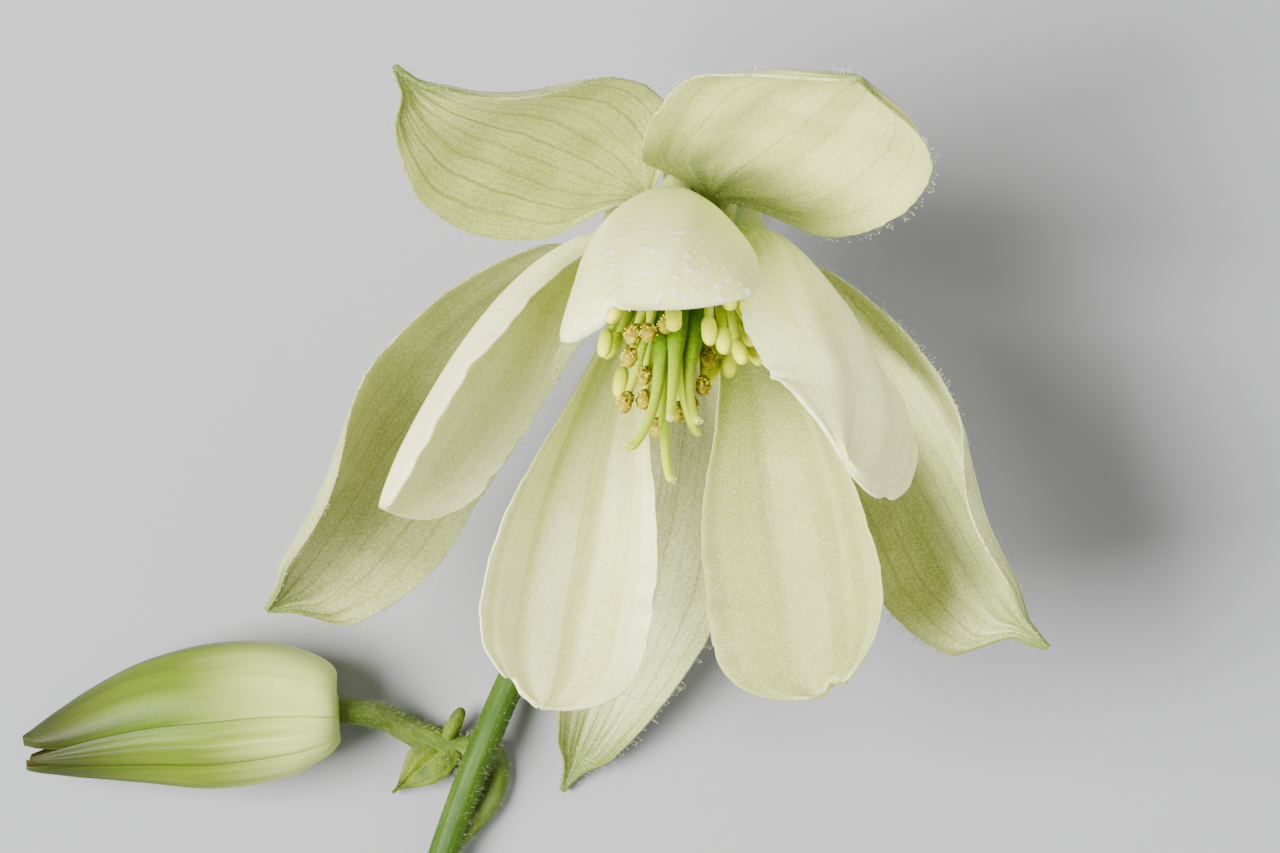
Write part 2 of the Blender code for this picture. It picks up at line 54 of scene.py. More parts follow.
Array = np.ndarray
Draw = np.random.Generator
Material = bpy.types.Material
Socket = bpy.types.NodeSocket
Span = tuple[float, float]
Point = tuple[float, float, float]
Colour = tuple[float, float, float]
Values = tuple[float, ...]
Route = tuple[tuple[float, float, float, float], ...]

UP = np.array([0.0, 0.0, 1.0])
RIGHT = np.array([1.0, 0.0, 0.0])
STEEP = 0.9
RIPPLE_WAVES = 5
RIPPLE_STRETCH = (0.85, 1.15)
RIPPLE_HEIGHT = 3.0


def unit(vector: Array) -> Array:
    """The vector, or rows of vectors, at length one."""
    vector = np.asarray(vector, float)
    return vector / np.linalg.norm(vector, axis=-1, keepdims=True)


def smooth_rise(x: Array) -> Array:
    """Goes from 0 to 1 with level ends."""
    x = np.clip(x, 0.0, 1.0)
    return x * x * (3.0 - 2.0 * x)


def through(values: Array, t: Array) -> Array:
    """Reads a smooth curve through evenly spaced values (Catmull-Rom).

    Args:
        values: numbers, or rows of numbers, spaced evenly from 0 to 1.
        t: where to read the curve.

    Returns:
        The curve at each t, with the shape of t and then of one value.
    """
    values = np.asarray(values, float)
    last = len(values) - 1
    padded = np.concatenate([[2 * values[0] - values[1]], values, [2 * values[-1] - values[-2]]])
    place = np.clip(t, 0.0, 1.0) * last
    left = np.minimum(np.floor(place).astype(int), last - 1)
    part = np.asarray(place - left)
    if values.ndim > 1:
        part = part[..., None]
    before, start, end, after = (padded[left + k] for k in range(4))
    return 0.5 * (
        2 * start
        + (end - before) * part
        + (2 * before - 5 * start + 4 * end - after) * part**2
        + (3 * start - before - 3 * end + after) * part**3
    )


def evenly(route: Array, step: float) -> Array:
    """Puts points on a smooth curve through a route.

    Args:
        route: rows of x, y, z and radius.
        step: about how far apart the points lie.

    Returns:
        The points, in rows like the route's.
    """
    route = np.asarray(route, float)
    length = np.linalg.norm(np.diff(route[:, :3], axis=0), axis=1).sum()
    return through(route, np.linspace(0.0, 1.0, max(3, round(length / step) + 1)))


def square_pair(ways: Array) -> tuple[Array, Array]:
    """Finds two directions square to each way and to each other.

    Args:
        ways: a direction of length one, or rows of them.

    Returns:
        The first and the second direction for each, in the shape of ways.
    """
    helper = np.where(np.abs(ways[..., 2:]) < STEEP, UP, RIGHT)
    first = unit(np.cross(helper, ways))
    return first, np.cross(ways, first)


def read_rows(t: Array, stations: Array, rows: Array) -> Array:
    """Reads rows of x, y and z, given at the stations, at each t."""
    return np.stack([np.interp(t, stations, column) for column in rows.T], axis=-1)


def add_object(name: str, data: bpy.types.ID) -> bpy.types.Object:
    """Adds an object to the scene.

    Args:
        name: its name.
        data: the mesh, light or camera that it shows.

    Returns:
        The new object.
    """
    made = bpy.data.objects.new(name, data)
    bpy.context.scene.collection.objects.link(made)
    return made


def ripple(x: Array, seed: int, longest: float, shortest: float) -> Array:
    """A wavy line without a regular beat, about one high.

    Args:
        x: where to read it.
        seed: picks one such line.
        longest: the longest wave in the units of x.
        shortest: the shortest wave.

    Returns:
        The line's height at each x.
    """
    draw = np.random.default_rng(seed)
    total = np.zeros_like(np.asarray(x, float))
    for wave in np.geomspace(longest, shortest, RIPPLE_WAVES):
        total = total + np.sin(2.0 * math.pi * (x / wave * draw.uniform(*RIPPLE_STRETCH) + draw.uniform()))
    return total / RIPPLE_HEIGHT


@dataclass(frozen=True)
class FlowerFrame:
    """Where the open flower stands: the middle of its receptacle and the way its axis points."""

    receptacle: Point = (2.26, 9.65, 13.0)
    axis_way: Point = (-0.06, -0.764, 0.643)

    def axis(self) -> Array:
        """The direction out of the flower."""
        return unit(np.array(self.axis_way))

    def outward(self, turn: float | Array) -> Array:
        """The direction away from the axis at that turn, clockwise from the top as the camera sees it.

        Args:
            turn: a turn, or an array of them.

        Returns:
            A direction of length one for each turn.
        """
        axis = self.axis()
        across = unit(RIGHT - axis[0] * axis)
        upward = np.cross(axis, across)
        angle = np.radians(np.asarray(turn, float))[..., None]
        return np.cos(angle) * upward + np.sin(angle) * across

    def place(self, turn: float | Array, distance: float | Array, height: float | Array) -> Array:
        """A point by its turn, its distance from the axis and its height along it."""
        away = np.asarray(distance, float)[..., None] * self.outward(turn)
        return np.array(self.receptacle) + away + np.asarray(height, float)[..., None] * self.axis()


FLOWER = FlowerFrame()


class Tissue:
    """Gathers one piece's points and faces, and says where each point lies along and across its part.

    body_end is the angle, in radians, at which an oval body's first and last rings stand, and
    body_fullness how blunt its ends are. hair_sink is how deep a hair is rooted, and crease the angle
    from which an edge stays sharp.
    """

    body_end = 0.02
    body_fullness = 0.8
    groove_width = 0.35
    hair_sink = 0.04
    crease = 50.0

    def __init__(self) -> None:
        """Starts with nothing in it."""
        self.points: list[Array] = []
        self.marks: list[Array] = []
        self.faces: list[list[int]] = []
        self.finish: list[int] = []
        self.count = 0

    def add_points(self, points: Array, along: Array, across: Array) -> Array:
        """Adds points.

        Args:
            points: their places, in millimetres, with the last axis for x, y and z.
            along: how far along its part each point lies, from 0 to 1.
            across: how far across it each point lies, from -1 to 1.

        Returns:
            The points' numbers, in the shape of the points.
        """
        shape = points.shape[:-1]
        marks = np.stack([np.broadcast_to(along, shape), np.broadcast_to(across, shape)], axis=-1)
        self.points.append(points.reshape(-1, 3))
        self.marks.append(marks.reshape(-1, 2))
        amount = int(np.prod(shape))
        numbers = np.arange(self.count, self.count + amount).reshape(shape)
        self.count += amount
        return numbers

    def add_faces(self, *corners: Array, finish: int = 0) -> None:
        """Adds faces from arrays that hold their first corners, second corners and so on."""
        rows = np.stack([c.reshape(-1) for c in corners], axis=-1).tolist()
        self.faces.extend(rows)
        self.finish.extend([finish] * len(rows))

    def add_grid(self, numbers: Array, finish: int = 0, turned: bool = False) -> None:
        """Adds the four-sided faces between neighbouring points of a grid.

        Args:
            numbers: the grid's point numbers, one row for each step along.
            finish: which of the piece's finishes the faces take.
            turned: whether the faces look the other way.
        """
        a, b, c, d = numbers[:-1, :-1], numbers[:-1, 1:], numbers[1:, 1:], numbers[1:, :-1]
        self.add_faces(*((d, c, b, a) if turned else (a, b, c, d)), finish=finish)

    def add_sheet(self, inner: Array, outer: Array, along: Array, across: Array) -> None:
        """Adds a thin closed sheet between two grids of points.

        Args:
            inner: the points of the face that looks into the flower.
            outer: the points of the other face.
            along: how far along each point lies.
            across: how far across each point lies.
        """
        near = self.add_points(inner, along, across)
        far = self.add_points(outer, along, across)
        self.add_grid(near)
        self.add_grid(far, turned=True)
        self.add_faces(near[:-1, 0], near[1:, 0], far[1:, 0], far[:-1, 0])
        self.add_faces(near[1:, -1], near[:-1, -1], far[:-1, -1], far[1:, -1])
        self.add_faces(near[-1, :-1], near[-1, 1:], far[-1, 1:], far[-1, :-1])
        self.add_faces(near[0, 1:], near[0, :-1], far[0, :-1], far[0, 1:])

    def add_tube(
        self, route: Array, sides: int, ribs: int = 0, rib_height: float = 0.0, finish: int = 0
    ) -> None:
        """Adds a closed tube along a route.

        Args:
            route: rows of x, y, z and radius.
            sides: how many points run round it.
            ribs: how many low ridges run along it.
            rib_height: how high they stand, as a share of the radius.
            finish: which of the piece's finishes it takes.
        """
        centre, radius = route[:, :3], route[:, 3]
        first, second = self.carried_frame(centre)
        turn = np.linspace(0.0, 2.0 * math.pi, sides + 1)
        ridge = 1.0 + rib_height * np.cos(ribs * turn)
        spread = (radius[:, None] * ridge)[..., None]
        ring = np.cos(turn)[None, :, None] * first[:, None] + np.sin(turn)[None, :, None] * second[:, None]
        along = np.linspace(0.0, 1.0, len(route))[:, None]
        across = (turn / math.pi - 1.0)[None, :-1]
        shell = centre[:, None] + spread * ring
        numbers = self.add_points(shell[:, :-1], along, across)
        self.add_grid(np.concatenate([numbers, numbers[:, :1]], axis=1), finish)
        for row, end, side in ((0, centre[0], 0.0), (-1, centre[-1], 1.0)):
            middle = self.add_points(end[None], np.array([side]), np.array([0.0]))
            here = numbers[row]
            after = np.roll(here, -1)
            hub = np.full(len(here), middle[0])
            self.add_faces(*((after, here, hub) if row == 0 else (here, after, hub)), finish=finish)

    @staticmethod
    def carried_frame(centre: Array) -> tuple[Array, Array]:
        """Finds two directions square to a route that don't twist along it.

        Args:
            centre: the route, as rows of x, y and z.

        Returns:
            The first and the second direction at each row.
        """
        tangent = unit(np.gradient(centre, axis=0))
        now, _ = square_pair(tangent[0])
        carried = []
        for way in tangent:
            now = unit(now - np.dot(now, way) * way)
            carried.append(now)
        first = np.array(carried)
        return first, np.cross(tangent, first)

    def add_body(
        self, centre: Array, way: Array, length: float, radius: float, groove: float = 0.0,
        crumple: float = 0.0, seed: int = 0, finish: int = 0, sides: int = 18, rings: int = 13,
    ) -> None:
        """Adds a closed oval body.

        Args:
            centre: its middle.
            way: the direction of its long axis.
            length: its length.
            radius: its radius at the middle.
            groove: how deep the two grooves along it are, as a share of the radius.
            crumple: how uneven it is, as a share of the radius.
            seed: picks its unevenness.
            finish: which of the piece's finishes it takes.
            sides: points round it.
            rings: points along it.
        """
        way = unit(way)
        first, second = square_pair(way)
        polar = np.linspace(self.body_end, math.pi - self.body_end, rings)[:, None]
        turn = np.linspace(0.0, 2.0 * math.pi, sides + 1)[None, :]
        trough = np.exp(-((np.sin(turn) / self.groove_width) ** 2))
        spread = np.sin(polar) ** self.body_fullness * (1.0 - groove * trough)
        if crumple:
            uneven = ripple(turn * 2.0 + polar * 3.0, seed, 5.0, 1.1)
            uneven = uneven * ripple(polar * 2.0 - turn, seed + 1, 4.0, 0.9)
            spread = spread * (1.0 + crumple * uneven * np.sin(polar))
        spread[:, -1] = spread[:, 0]
        spot = centre - 0.5 * length * np.cos(polar)[..., None] * way
        spoke = np.cos(turn)[..., None] * first + np.sin(turn)[..., None] * second
        shell = spot + radius * spread[..., None] * spoke
        numbers = self.add_points(shell[:, :-1], polar / math.pi, (turn / math.pi - 1.0)[:, :-1])
        self.add_grid(np.concatenate([numbers, numbers[:, :1]], axis=1), finish)
        for ring in (numbers[0, ::-1], numbers[-1]):
            self.faces.append(ring.tolist())
            self.finish.append(finish)

    def add_hairs(
        self, roots: Array, ways: Array, lengths: Array, radius: float, gland: float = 0.0, finish: int = 1
    ) -> None:
        """Adds slender tapering hairs.

        Args:
            roots: where they stand.
            ways: the direction of each.
            lengths: how long each is.
            radius: their radius at the root.
            gland: the radius of the round drop at the tip, or 0 for none.
            finish: which of the piece's finishes they take.
        """
        ways = unit(ways)
        first, second = square_pair(ways)
        turns = np.radians(np.arange(3) * 120.0)[None, :, None]
        ring = np.cos(turns) * first[:, None] + np.sin(turns) * second[:, None]
        tips = roots + ways * lengths[:, None]
        low = self.add_points(roots[:, None] - self.hair_sink * ways[:, None] + radius * ring, 0.0, 0.0)
        high = self.add_points(tips, 1.0, 0.0)
        for k in range(3):
            self.add_faces(low[:, k], low[:, (k + 1) % 3], high, finish=finish)
        if gland:
            corners = np.stack([first, second, -first, -second, ways, -ways], axis=1)
            drop = self.add_points(tips[:, None] + gland * corners, 1.0, 1.0)
            for k in range(4):
                after = (k + 1) % 4
                self.add_faces(drop[:, k], drop[:, after], drop[:, 4], finish=finish)
                self.add_faces(drop[:, after], drop[:, k], drop[:, 5], finish=finish)

    def make_object(self, name: str, finishes: list[Material]) -> bpy.types.Object:
        """Turns what is gathered into an object in the part's own place, with nothing below the surface.

        Args:
            name: the piece's name.
            finishes: its materials, in the order that the faces number them.

        Returns:
            The new object.
        """
        points = np.concatenate(self.points) - np.array([*SPRAY_MIDDLE, 0.0])
        points[:, 2] = np.maximum(points[:, 2], 0.0)
        mesh = bpy.data.meshes.new(name)
        mesh.from_pydata((points * MM).tolist(), [], self.faces)
        for finish in finishes:
            mesh.materials.append(finish)
        mesh.polygons.foreach_set("material_index", self.finish)
        marks = np.concatenate(self.marks)
        for label, column in (("along", 0), ("across", 1)):
            layer = mesh.attributes.new(label, "FLOAT", "POINT")
            layer.data.foreach_set("value", marks[:, column].astype(np.float32))
        mesh.update()
        mesh.shade_smooth()
        mesh.set_sharp_from_angle(angle=math.radians(self.crease))
        return add_object(name, mesh)


@dataclass(frozen=True)
class Value:
    """A number that varies over a surface. Arithmetic on it adds the Math nodes that work it out."""

    surface: "Surface"
    socket: Socket

    def worked(self, operation: str, *operands: "Value | float") -> "Value":
        """Adds one Math node.

        Args:
            operation: what it works out.
            operands: values or numbers, in the order of its inputs.

        Returns:
            Its result.
        """
        inputs = {i: o.socket if isinstance(o, Value) else o for i, o in enumerate(operands)}
        node = self.surface.node("ShaderNodeMath", {"operation": operation}, inputs)
        return Value(self.surface, node.outputs[0])

    def __add__(self, other: "Value | float") -> "Value":
        """The sum."""
        return self.worked("ADD", self, other)

    def __radd__(self, other: float) -> "Value":
        """The sum, with the number first."""
        return self.worked("ADD", other, self)

    def __sub__(self, other: "Value | float") -> "Value":
        """The difference."""
        return self.worked("SUBTRACT", self, other)

    def __rsub__(self, other: float) -> "Value":
        """The number less this value."""
        return self.worked("SUBTRACT", other, self)

    def __mul__(self, other: "Value | float") -> "Value":
        """The product."""
        return self.worked("MULTIPLY", self, other)

    def __rmul__(self, other: float) -> "Value":
        """The product, with the number first."""
        return self.worked("MULTIPLY", other, self)

    def size(self) -> "Value":
        """The value without its sign."""
        return self.worked("ABSOLUTE", self)

    def fraction(self) -> "Value":
        """What is left over after whole numbers."""
        return self.worked("FRACT", self)

    def rise(self, low: float, high: float) -> "Value":
        """Goes smoothly from 0 to 1.

        Args:
            low: where it is 0, on the one side and beyond.
            high: where it is 1, on the other side and beyond.

        Returns:
            The smooth step.
        """
        node = self.surface.node(
            "ShaderNodeMapRange",
            {"interpolation_type": "SMOOTHSTEP"},
            {"Value": self.socket, "From Min": low, "From Max": high, "To Min": 0.0, "To Max": 1.0},
        )
        return Value(self.surface, node.outputs["Result"])


class Surface:
    """A material as it is put together: its node tree and the shader at its end."""

    def __init__(self, name: str) -> None:
        """Starts a material with a Principled shader.

        Args:
            name: the material's name.
        """
        self.material = bpy.data.materials.new(name)
        self.material.use_nodes = True
        self.tree = self.material.node_tree
        self.shader = self.tree.nodes["Principled BSDF"]

    def node(
        self,
        kind: str,
        settings: dict[str, object] | None = None,
        inputs: dict[str | int, object] | None = None,
    ) -> bpy.types.Node:
        """Adds one node.

        Args:
            kind: the node's type.
            settings: its properties, which are set first.
            inputs: the value or the link of each input socket, by name or number.

        Returns:
            The new node.
        """
        made = self.tree.nodes.new(kind)
        for label, setting in (settings or {}).items():
            setattr(made, label, setting)
        for label, given in (inputs or {}).items():
            if isinstance(given, Socket):
                self.tree.links.new(given, made.inputs[label])
            else:
                made.inputs[label].default_value = given
        return made

    def mark(self, label: str) -> Value:
        """What a mesh says of each point: along or across."""
        return Value(self, self.node("ShaderNodeAttribute", {"attribute_name": label}).outputs["Fac"])

    def place(self) -> Socket:
        """The point's place in millimetres."""
        scaled = {0: self.node("ShaderNodeTexCoord").outputs["Object"], 1: (1.0 / MM,) * 3}
        return self.node("ShaderNodeVectorMath", {"operation": "MULTIPLY"}, scaled).outputs[0]

    def noise(self, per_mm: float, detail: float = 2.0, spot: Socket | None = None) -> Value:
        """Cloudy variation.

        Args:
            per_mm: how many blotches there are to a millimetre.
            detail: how many finer layers it has.
            spot: where to read it, or None for the place in millimetres.

        Returns:
            The variation, about 0.5 in the middle.
        """
        inputs = {"Vector": spot or self.place(), "Scale": per_mm, "Detail": detail}
        return Value(self, self.node("ShaderNodeTexNoise", {}, inputs).outputs[0])

    def dots(self, per_mm: float) -> Value:
        """The distance from the nearest of many scattered dots.

        Args:
            per_mm: about how many dots there are to a millimetre.

        Returns:
            The distance, where 1 is about the space between dots.
        """
        inputs = {"Vector": self.place(), "Scale": per_mm}
        node = self.node("ShaderNodeTexVoronoi", {"feature": "SMOOTH_F1"}, inputs)
        return Value(self, node.outputs["Distance"])

    def strip(self, across_per_unit: float, along_per_unit: float) -> Value:
        """Streaky variation that runs along the part.

        Args:
            across_per_unit: how many streaks there are across half of it.
            along_per_unit: how many times they change along it.

        Returns:
            The variation, about 0.5 in the middle.
        """
        across = self.mark("across") * across_per_unit
        along = self.mark("along") * along_per_unit
        spot = self.node("ShaderNodeCombineXYZ", {}, {"X": across.socket, "Y": along.socket})
        return self.noise(1.0, 2.0, spot.outputs[0])

    def mix(self, share: Value, first: Socket | Colour, second: Socket | Colour) -> Socket:
        """Blends two colours.

        Args:
            share: how much of the second colour there is, from 0 to 1.
            first: the first colour.
            second: the second colour.

        Returns:
            The blend.
        """
        wanted = [c if isinstance(c, Socket) else (*c, 1.0) for c in (first, second)]
        inputs = {0: share.socket, 6: wanted[0], 7: wanted[1]}
        return self.node("ShaderNodeMix", {"data_type": "RGBA"}, inputs).outputs[2]

    def finish(
        self, colour: Socket, roughness: Value, height: Value, relief: float, **uniform: float | Point
    ) -> None:
        """Connects the shader.

        Args:
            colour: its colour.
            roughness: how rough it is, from 0 to 1.
            height: the fine relief, from 0 to 1.
            relief: the relief's depth, in millimetres.
            uniform: other inputs of the shader, the same all over.
        """
        inputs = {"Height": height.socket, "Distance": relief * MM, "Strength": 1.0}
        bump = self.node("ShaderNodeBump", {}, inputs)
        self.tree.links.new(colour, self.shader.inputs["Base Color"])
        self.tree.links.new(roughness.socket, self.shader.inputs["Roughness"])
        self.tree.links.new(bump.outputs["Normal"], self.shader.inputs["Normal"])
        for label, setting in uniform.items():
            socket_name = label.replace("_", " ").title().replace("Ior", "IOR")
            self.shader.inputs[socket_name].default_value = setting


class Finish:
    """A look that can be painted on any number of materials."""

    def make(self, name: str) -> Material:
        """Makes a material with this look.

        Args:
            name: the material's name.

        Returns:
            The new material.
        """
        surface = Surface(name)
        self.paint(surface)
        return surface.material

    def paint(self, surface: Surface) -> None:
        """Adds the colours, the roughness and the relief."""
        raise NotImplementedError


@dataclass(frozen=True)
class VeinedFinish(Finish):
    """Thin cream tissue with lengthwise veins, glistening cells, and green at the base and the tip."""

    light: Colour = (0.62, 0.65, 0.21)
    shade: Colour = (0.34, 0.37, 0.09)
    vein: Colour = (0.17, 0.22, 0.015)
    green: Colour = (0.10, 0.155, 0.001)
    base_green: float = 0.16
    tip_green: float = 0.9
    middle_green: float = 0.0
    glint: Colour = (0.95, 0.95, 0.60)
    veins: float = 5.0
    vein_strength: float = 0.35
    relief: float = 0.06

    def paint(self, surface: Surface) -> None:
        """Adds the colours, the roughness and the relief.

        Args:
            surface: the material that takes them.
        """
        along, across = surface.mark("along"), surface.mark("across")
        wander = surface.strip(1.5, 4.0) - 0.5
        coarse = 1.0 - ((across * self.veins + wander * 0.9).fraction() - 0.5).size() * 2.0
        fine = 1.0 - ((across * self.veins * 2.7 + wander * 1.9).fraction() - 0.5).size() * 2.0
        veins = coarse.rise(0.28, 0.0) * self.vein_strength + fine.rise(0.4, 0.0) * self.vein_strength * 0.45
        clouds = surface.noise(0.35, 3.0)
        grain = surface.noise(7.0, 2.0)
        cells = surface.noise(16.0, 1.0)
        glints = cells.rise(0.60, 0.72)
        blotches = clouds.rise(0.35, 0.7) * 0.45 + grain.rise(0.38, 0.62) * 0.55
        tone = surface.mix(blotches, self.shade, self.light)
        tone = surface.mix(veins * (0.4 + 0.6 * along), tone, self.vein)
        streaked = along + surface.strip(9.0, 1.5) * 0.22 - 0.11
        base = streaked.rise(self.base_green, self.base_green * 0.15)
        tip = streaked.rise(self.tip_green - 0.03, min(0.995, self.tip_green + 0.09))
        tone = surface.mix(base * 0.9, tone, self.green)
        tone = surface.mix(tip * 0.92, tone, self.green)
        if self.middle_green:
            keel = (across.size() + surface.strip(6.0, 2.0) * 0.5).rise(0.85, 0.2) * along.rise(0.25, 0.8)
            tone = surface.mix(keel * self.middle_green, tone, self.green)
        tone = surface.mix(glints * 0.5, tone, self.glint)
        rough = 0.58 - glints * 0.3 + grain * 0.1
        height = grain * 0.5 + cells * 0.35 - veins * 0.5
        surface.finish(
            tone, rough, height, self.relief, subsurface_weight=0.22, subsurface_scale=0.0012,
            subsurface_radius=(1.0, 1.0, 0.6), sheen_weight=0.05, sheen_roughness=0.4,
        )


@dataclass(frozen=True)
class PetalFinish(Finish):
    """Thin creamy tissue of a petal: soft lengthwise bands, glistening cells and a yellow-green throat.

    mottling is how strongly the clear grey-green flecks show on one side, and bead_height how high the
    round white beads stand that lie towards the end.
    """

    light: Colour = (0.96, 0.98, 0.46)
    shade: Colour = (0.60, 0.64, 0.18)
    glow: Colour = (0.28, 0.38, 0.004)
    clear: Colour = (0.28, 0.30, 0.10)
    rim: Colour = (0.80, 0.84, 0.30)
    glint: Colour = (0.98, 0.98, 0.75)
    bead: Colour = (0.97, 0.97, 0.84)
    bands: float = 4.0
    banding: float = 0.5
    mottling: float = 0.0
    bead_height: float = 0.0
    throat: float = 0.5
    relief: float = 0.055
    beaded_relief: float = 0.07

    def paint(self, surface: Surface) -> None:
        """Adds the colours, the roughness and the relief.

        Args:
            surface: the material that takes them.
        """
        along, across = surface.mark("along"), surface.mark("across")
        bands = surface.strip(self.bands, 0.45)
        threads = surface.strip(self.bands * 5.0, 1.6)
        clouds = surface.noise(0.3, 3.0)
        grain = surface.noise(7.0, 2.0)
        cells = surface.noise(15.0, 1.0)
        glints = cells.rise(0.60, 0.70)
        dark = bands.rise(0.45, 0.62) * self.banding + clouds.rise(0.5, 0.7) * 0.2
        dark = dark + threads.rise(0.5, 0.7) * 0.12
        tone = surface.mix(dark + grain.rise(0.42, 0.66) * 0.4, self.light, self.shade)
        side = (along.rise(0.3, 0.75) * 0.9) * across.rise(-0.75, 0.35)
        flecks = surface.noise(9.0, 2.0).rise(0.44, 0.62) * side
        tone = surface.mix(flecks * self.mottling + side * (self.mottling * 0.25), tone, self.clear)
        streaks = surface.strip(7.0, 1.0) * 0.3 - 0.15
        tone = surface.mix((along + streaks).rise(self.throat, 0.0) * 0.85, tone, self.glow)
        edge = (across.size().rise(0.93, 1.0) + along.rise(0.97, 1.0)).rise(0.0, 1.0)
        tone = surface.mix(edge * 0.3, tone, self.rim)
        tone = surface.mix(glints * 0.55, tone, self.glint)
        height = grain * 0.5 + cells * 0.35 + threads * 0.3
        if self.bead_height:
            beads = surface.dots(1.9).rise(0.42, 0.05) * along.rise(0.35, 0.85)
            tone = surface.mix(beads * 0.6, tone, self.bead)
            height = height * 0.35 + beads * self.bead_height
        rough = 0.55 - glints * 0.3 + grain * 0.1
        relief = self.beaded_relief if self.bead_height else self.relief
        surface.finish(
            tone, rough, height, relief, subsurface_weight=0.3, subsurface_scale=0.0014,
            subsurface_radius=(1.0, 1.0, 0.55), sheen_weight=0.05, sheen_roughness=0.4,
        )


@dataclass(frozen=True)
class StemFinish(Finish):
    """Bright green skin of a stalk, faintly ribbed and speckled."""

    green: Colour = (0.022, 0.062, 0.0003)
    pale: Colour = (0.048, 0.10, 0.0008)
    dull: Colour = (0.10, 0.16, 0.02)
    dullness: float = 0.2
    relief: float = 0.04

    def paint(self, surface: Surface) -> None:
        """Adds the colours, the roughness and the relief.

        Args:
            surface: the material that takes them.
        """
        clouds = surface.noise(0.5, 3.0)
        speckle = surface.noise(6.0, 2.0)
        ribs = surface.strip(10.0, 14.0)
        tone = surface.mix(ribs.rise(0.35, 0.68) * 0.75, self.green, self.pale)
        tone = surface.mix(clouds.rise(0.4, 0.7) * self.dullness, tone, self.dull)
        tone = surface.mix(speckle.rise(0.6, 0.75) * 0.4, tone, self.pale)
        height = ribs * 0.6 + speckle * 0.4
        surface.finish(
            tone, 0.65 - speckle * 0.15, height, self.relief, subsurface_weight=0.1, subsurface_scale=0.001,
            specular_ior_level=0.25,
        )


@dataclass(frozen=True)
class LeafyFinish(Finish):
    """Yellow-green tissue of a bract, with a few veins and a duller tip."""

    green: Colour = (0.045, 0.08, 0.0005)
    pale: Colour = (0.11, 0.155, 0.0015)
    tip: Colour = (0.06, 0.065, 0.002)
    relief: float = 0.05

    def paint(self, surface: Surface) -> None:
        """Adds the colours, the roughness and the relief.

        Args:
            surface: the material that takes them.
        """
        along, across = surface.mark("along"), surface.mark("across")
        veins = 1.0 - ((across * 2.5 + surface.noise(0.8) * 0.6).fraction() - 0.5).size() * 2.0
        tone = surface.mix(surface.noise(1.2, 3.0).rise(0.35, 0.65), self.green, self.pale)
        tone = surface.mix(veins.rise(0.3, 0.0) * 0.45, tone, self.green)
        tone = surface.mix(along.rise(0.6, 1.0) * 0.7, tone, self.tip)
        height = surface.noise(6.0) - veins * 0.4
        rough = surface.noise(4.0) * 0.2 + 0.5
        surface.finish(
            tone, rough, height, self.relief, subsurface_weight=0.1, subsurface_scale=0.001,
            specular_ior_level=0.25,
        )


@dataclass(frozen=True)
class BudFinish(Finish):
    """A bud sepal's light green, with fine lengthwise lines, a painted highlight of pale near-white green
    over the half nearest the stalk, and an olive tip that painted shade darkens further.
    """

    green: Colour = (0.075, 0.125, 0.0008)
    pale: Colour = (0.17, 0.24, 0.003)
    # The tip's own olive, made near black as painted shade
    olive_and_painted_shade: Colour = (0.014, 0.018, 0.0004)
    # base: the colour of the painted highlight on the half of the bud nearest the stalk
    base: Colour = (0.80, 0.92, 0.26)
    relief: float = 0.05

    def paint(self, surface: Surface) -> None:
        """Adds the colours, the roughness and the relief.

        Args:
            surface: the material that takes them.
        """
        along, across = surface.mark("along"), surface.mark("across")
        lines = surface.strip(7.0, 1.0)
        broad = surface.strip(2.2, 1.2)
        tone = surface.mix(lines.rise(0.3, 0.7) * 0.4 + broad.rise(0.4, 0.65) * 0.4, self.green, self.pale)
        edge = across.size().rise(0.55, 1.0)
        tone = surface.mix(edge * 0.35, tone, self.green)
        # Painted highlight: pale near-white green laid over each sepal's half nearest the stalk
        painted_highlight = (along + broad * 0.3).rise(0.66, 0.3) * (along + 0.15).rise(0.05, 0.35)
        tone = surface.mix(painted_highlight * 0.85, tone, self.base)
        # The tip's own olive with painted shade: each sepal darkens strongly towards its tip
        tone = surface.mix((along + lines * 0.25).rise(0.58, 0.98) * 0.9, tone, self.olive_and_painted_shade)
        speckle = surface.noise(9.0, 2.0)
        tone = surface.mix(speckle.rise(0.62, 0.75) * 0.25, tone, self.pale)
        height = lines * 0.7 + speckle * 0.3
        surface.finish(
            tone, 0.5 + speckle * 0.15, height, self.relief, subsurface_weight=0.15, subsurface_scale=0.0015,
            specular_ior_level=0.3,
        )


@dataclass(frozen=True)
class SoftFinish(Finish):
    """A small soft body whose colour runs from foot to end, with a fine grain."""

    foot: Colour
    end: Colour
    speck: Colour
    per_mm: float = 7.0
    specks: float = 0.4
    rough: float = 0.5
    relief: float = 0.03

    def paint(self, surface: Surface) -> None:
        """Adds the colours, the roughness and the relief.

        Args:
            surface: the material that takes them.
        """
        grain = surface.noise(self.per_mm, 2.0)
        tone = surface.mix((surface.mark("along") + grain * 0.3 - 0.15).rise(0.25, 0.95), self.foot, self.end)
        tone = surface.mix(grain.rise(0.5, 0.7) * self.specks, tone, self.speck)
        surface.finish(
            tone, self.rough - grain * 0.15, grain, self.relief, subsurface_weight=0.15,
            subsurface_scale=0.0008, specular_ior_level=0.25,
        )


@dataclass(frozen=True)
class HairFinish(Finish):
    """Fine pale hairs with clear drops at their tips."""

    root: Colour = (0.13, 0.20, 0.015)
    tip: Colour = (0.60, 0.66, 0.34)
    relief: float = 0.005

    def paint(self, surface: Surface) -> None:
        """Adds the colours, the roughness and the relief.

        Args:
            surface: the material that takes them.
        """
        tone = surface.mix(surface.mark("along"), self.root, self.tip)
        grain = surface.noise(3.0)
        surface.finish(tone, 0.3 + grain * 0.2, grain, self.relief, specular_ior_level=0.6)


class Anther(Enum):
    """What has become of a stamen's anther."""

    FRESH = "fresh"
    SPENT = "spent"


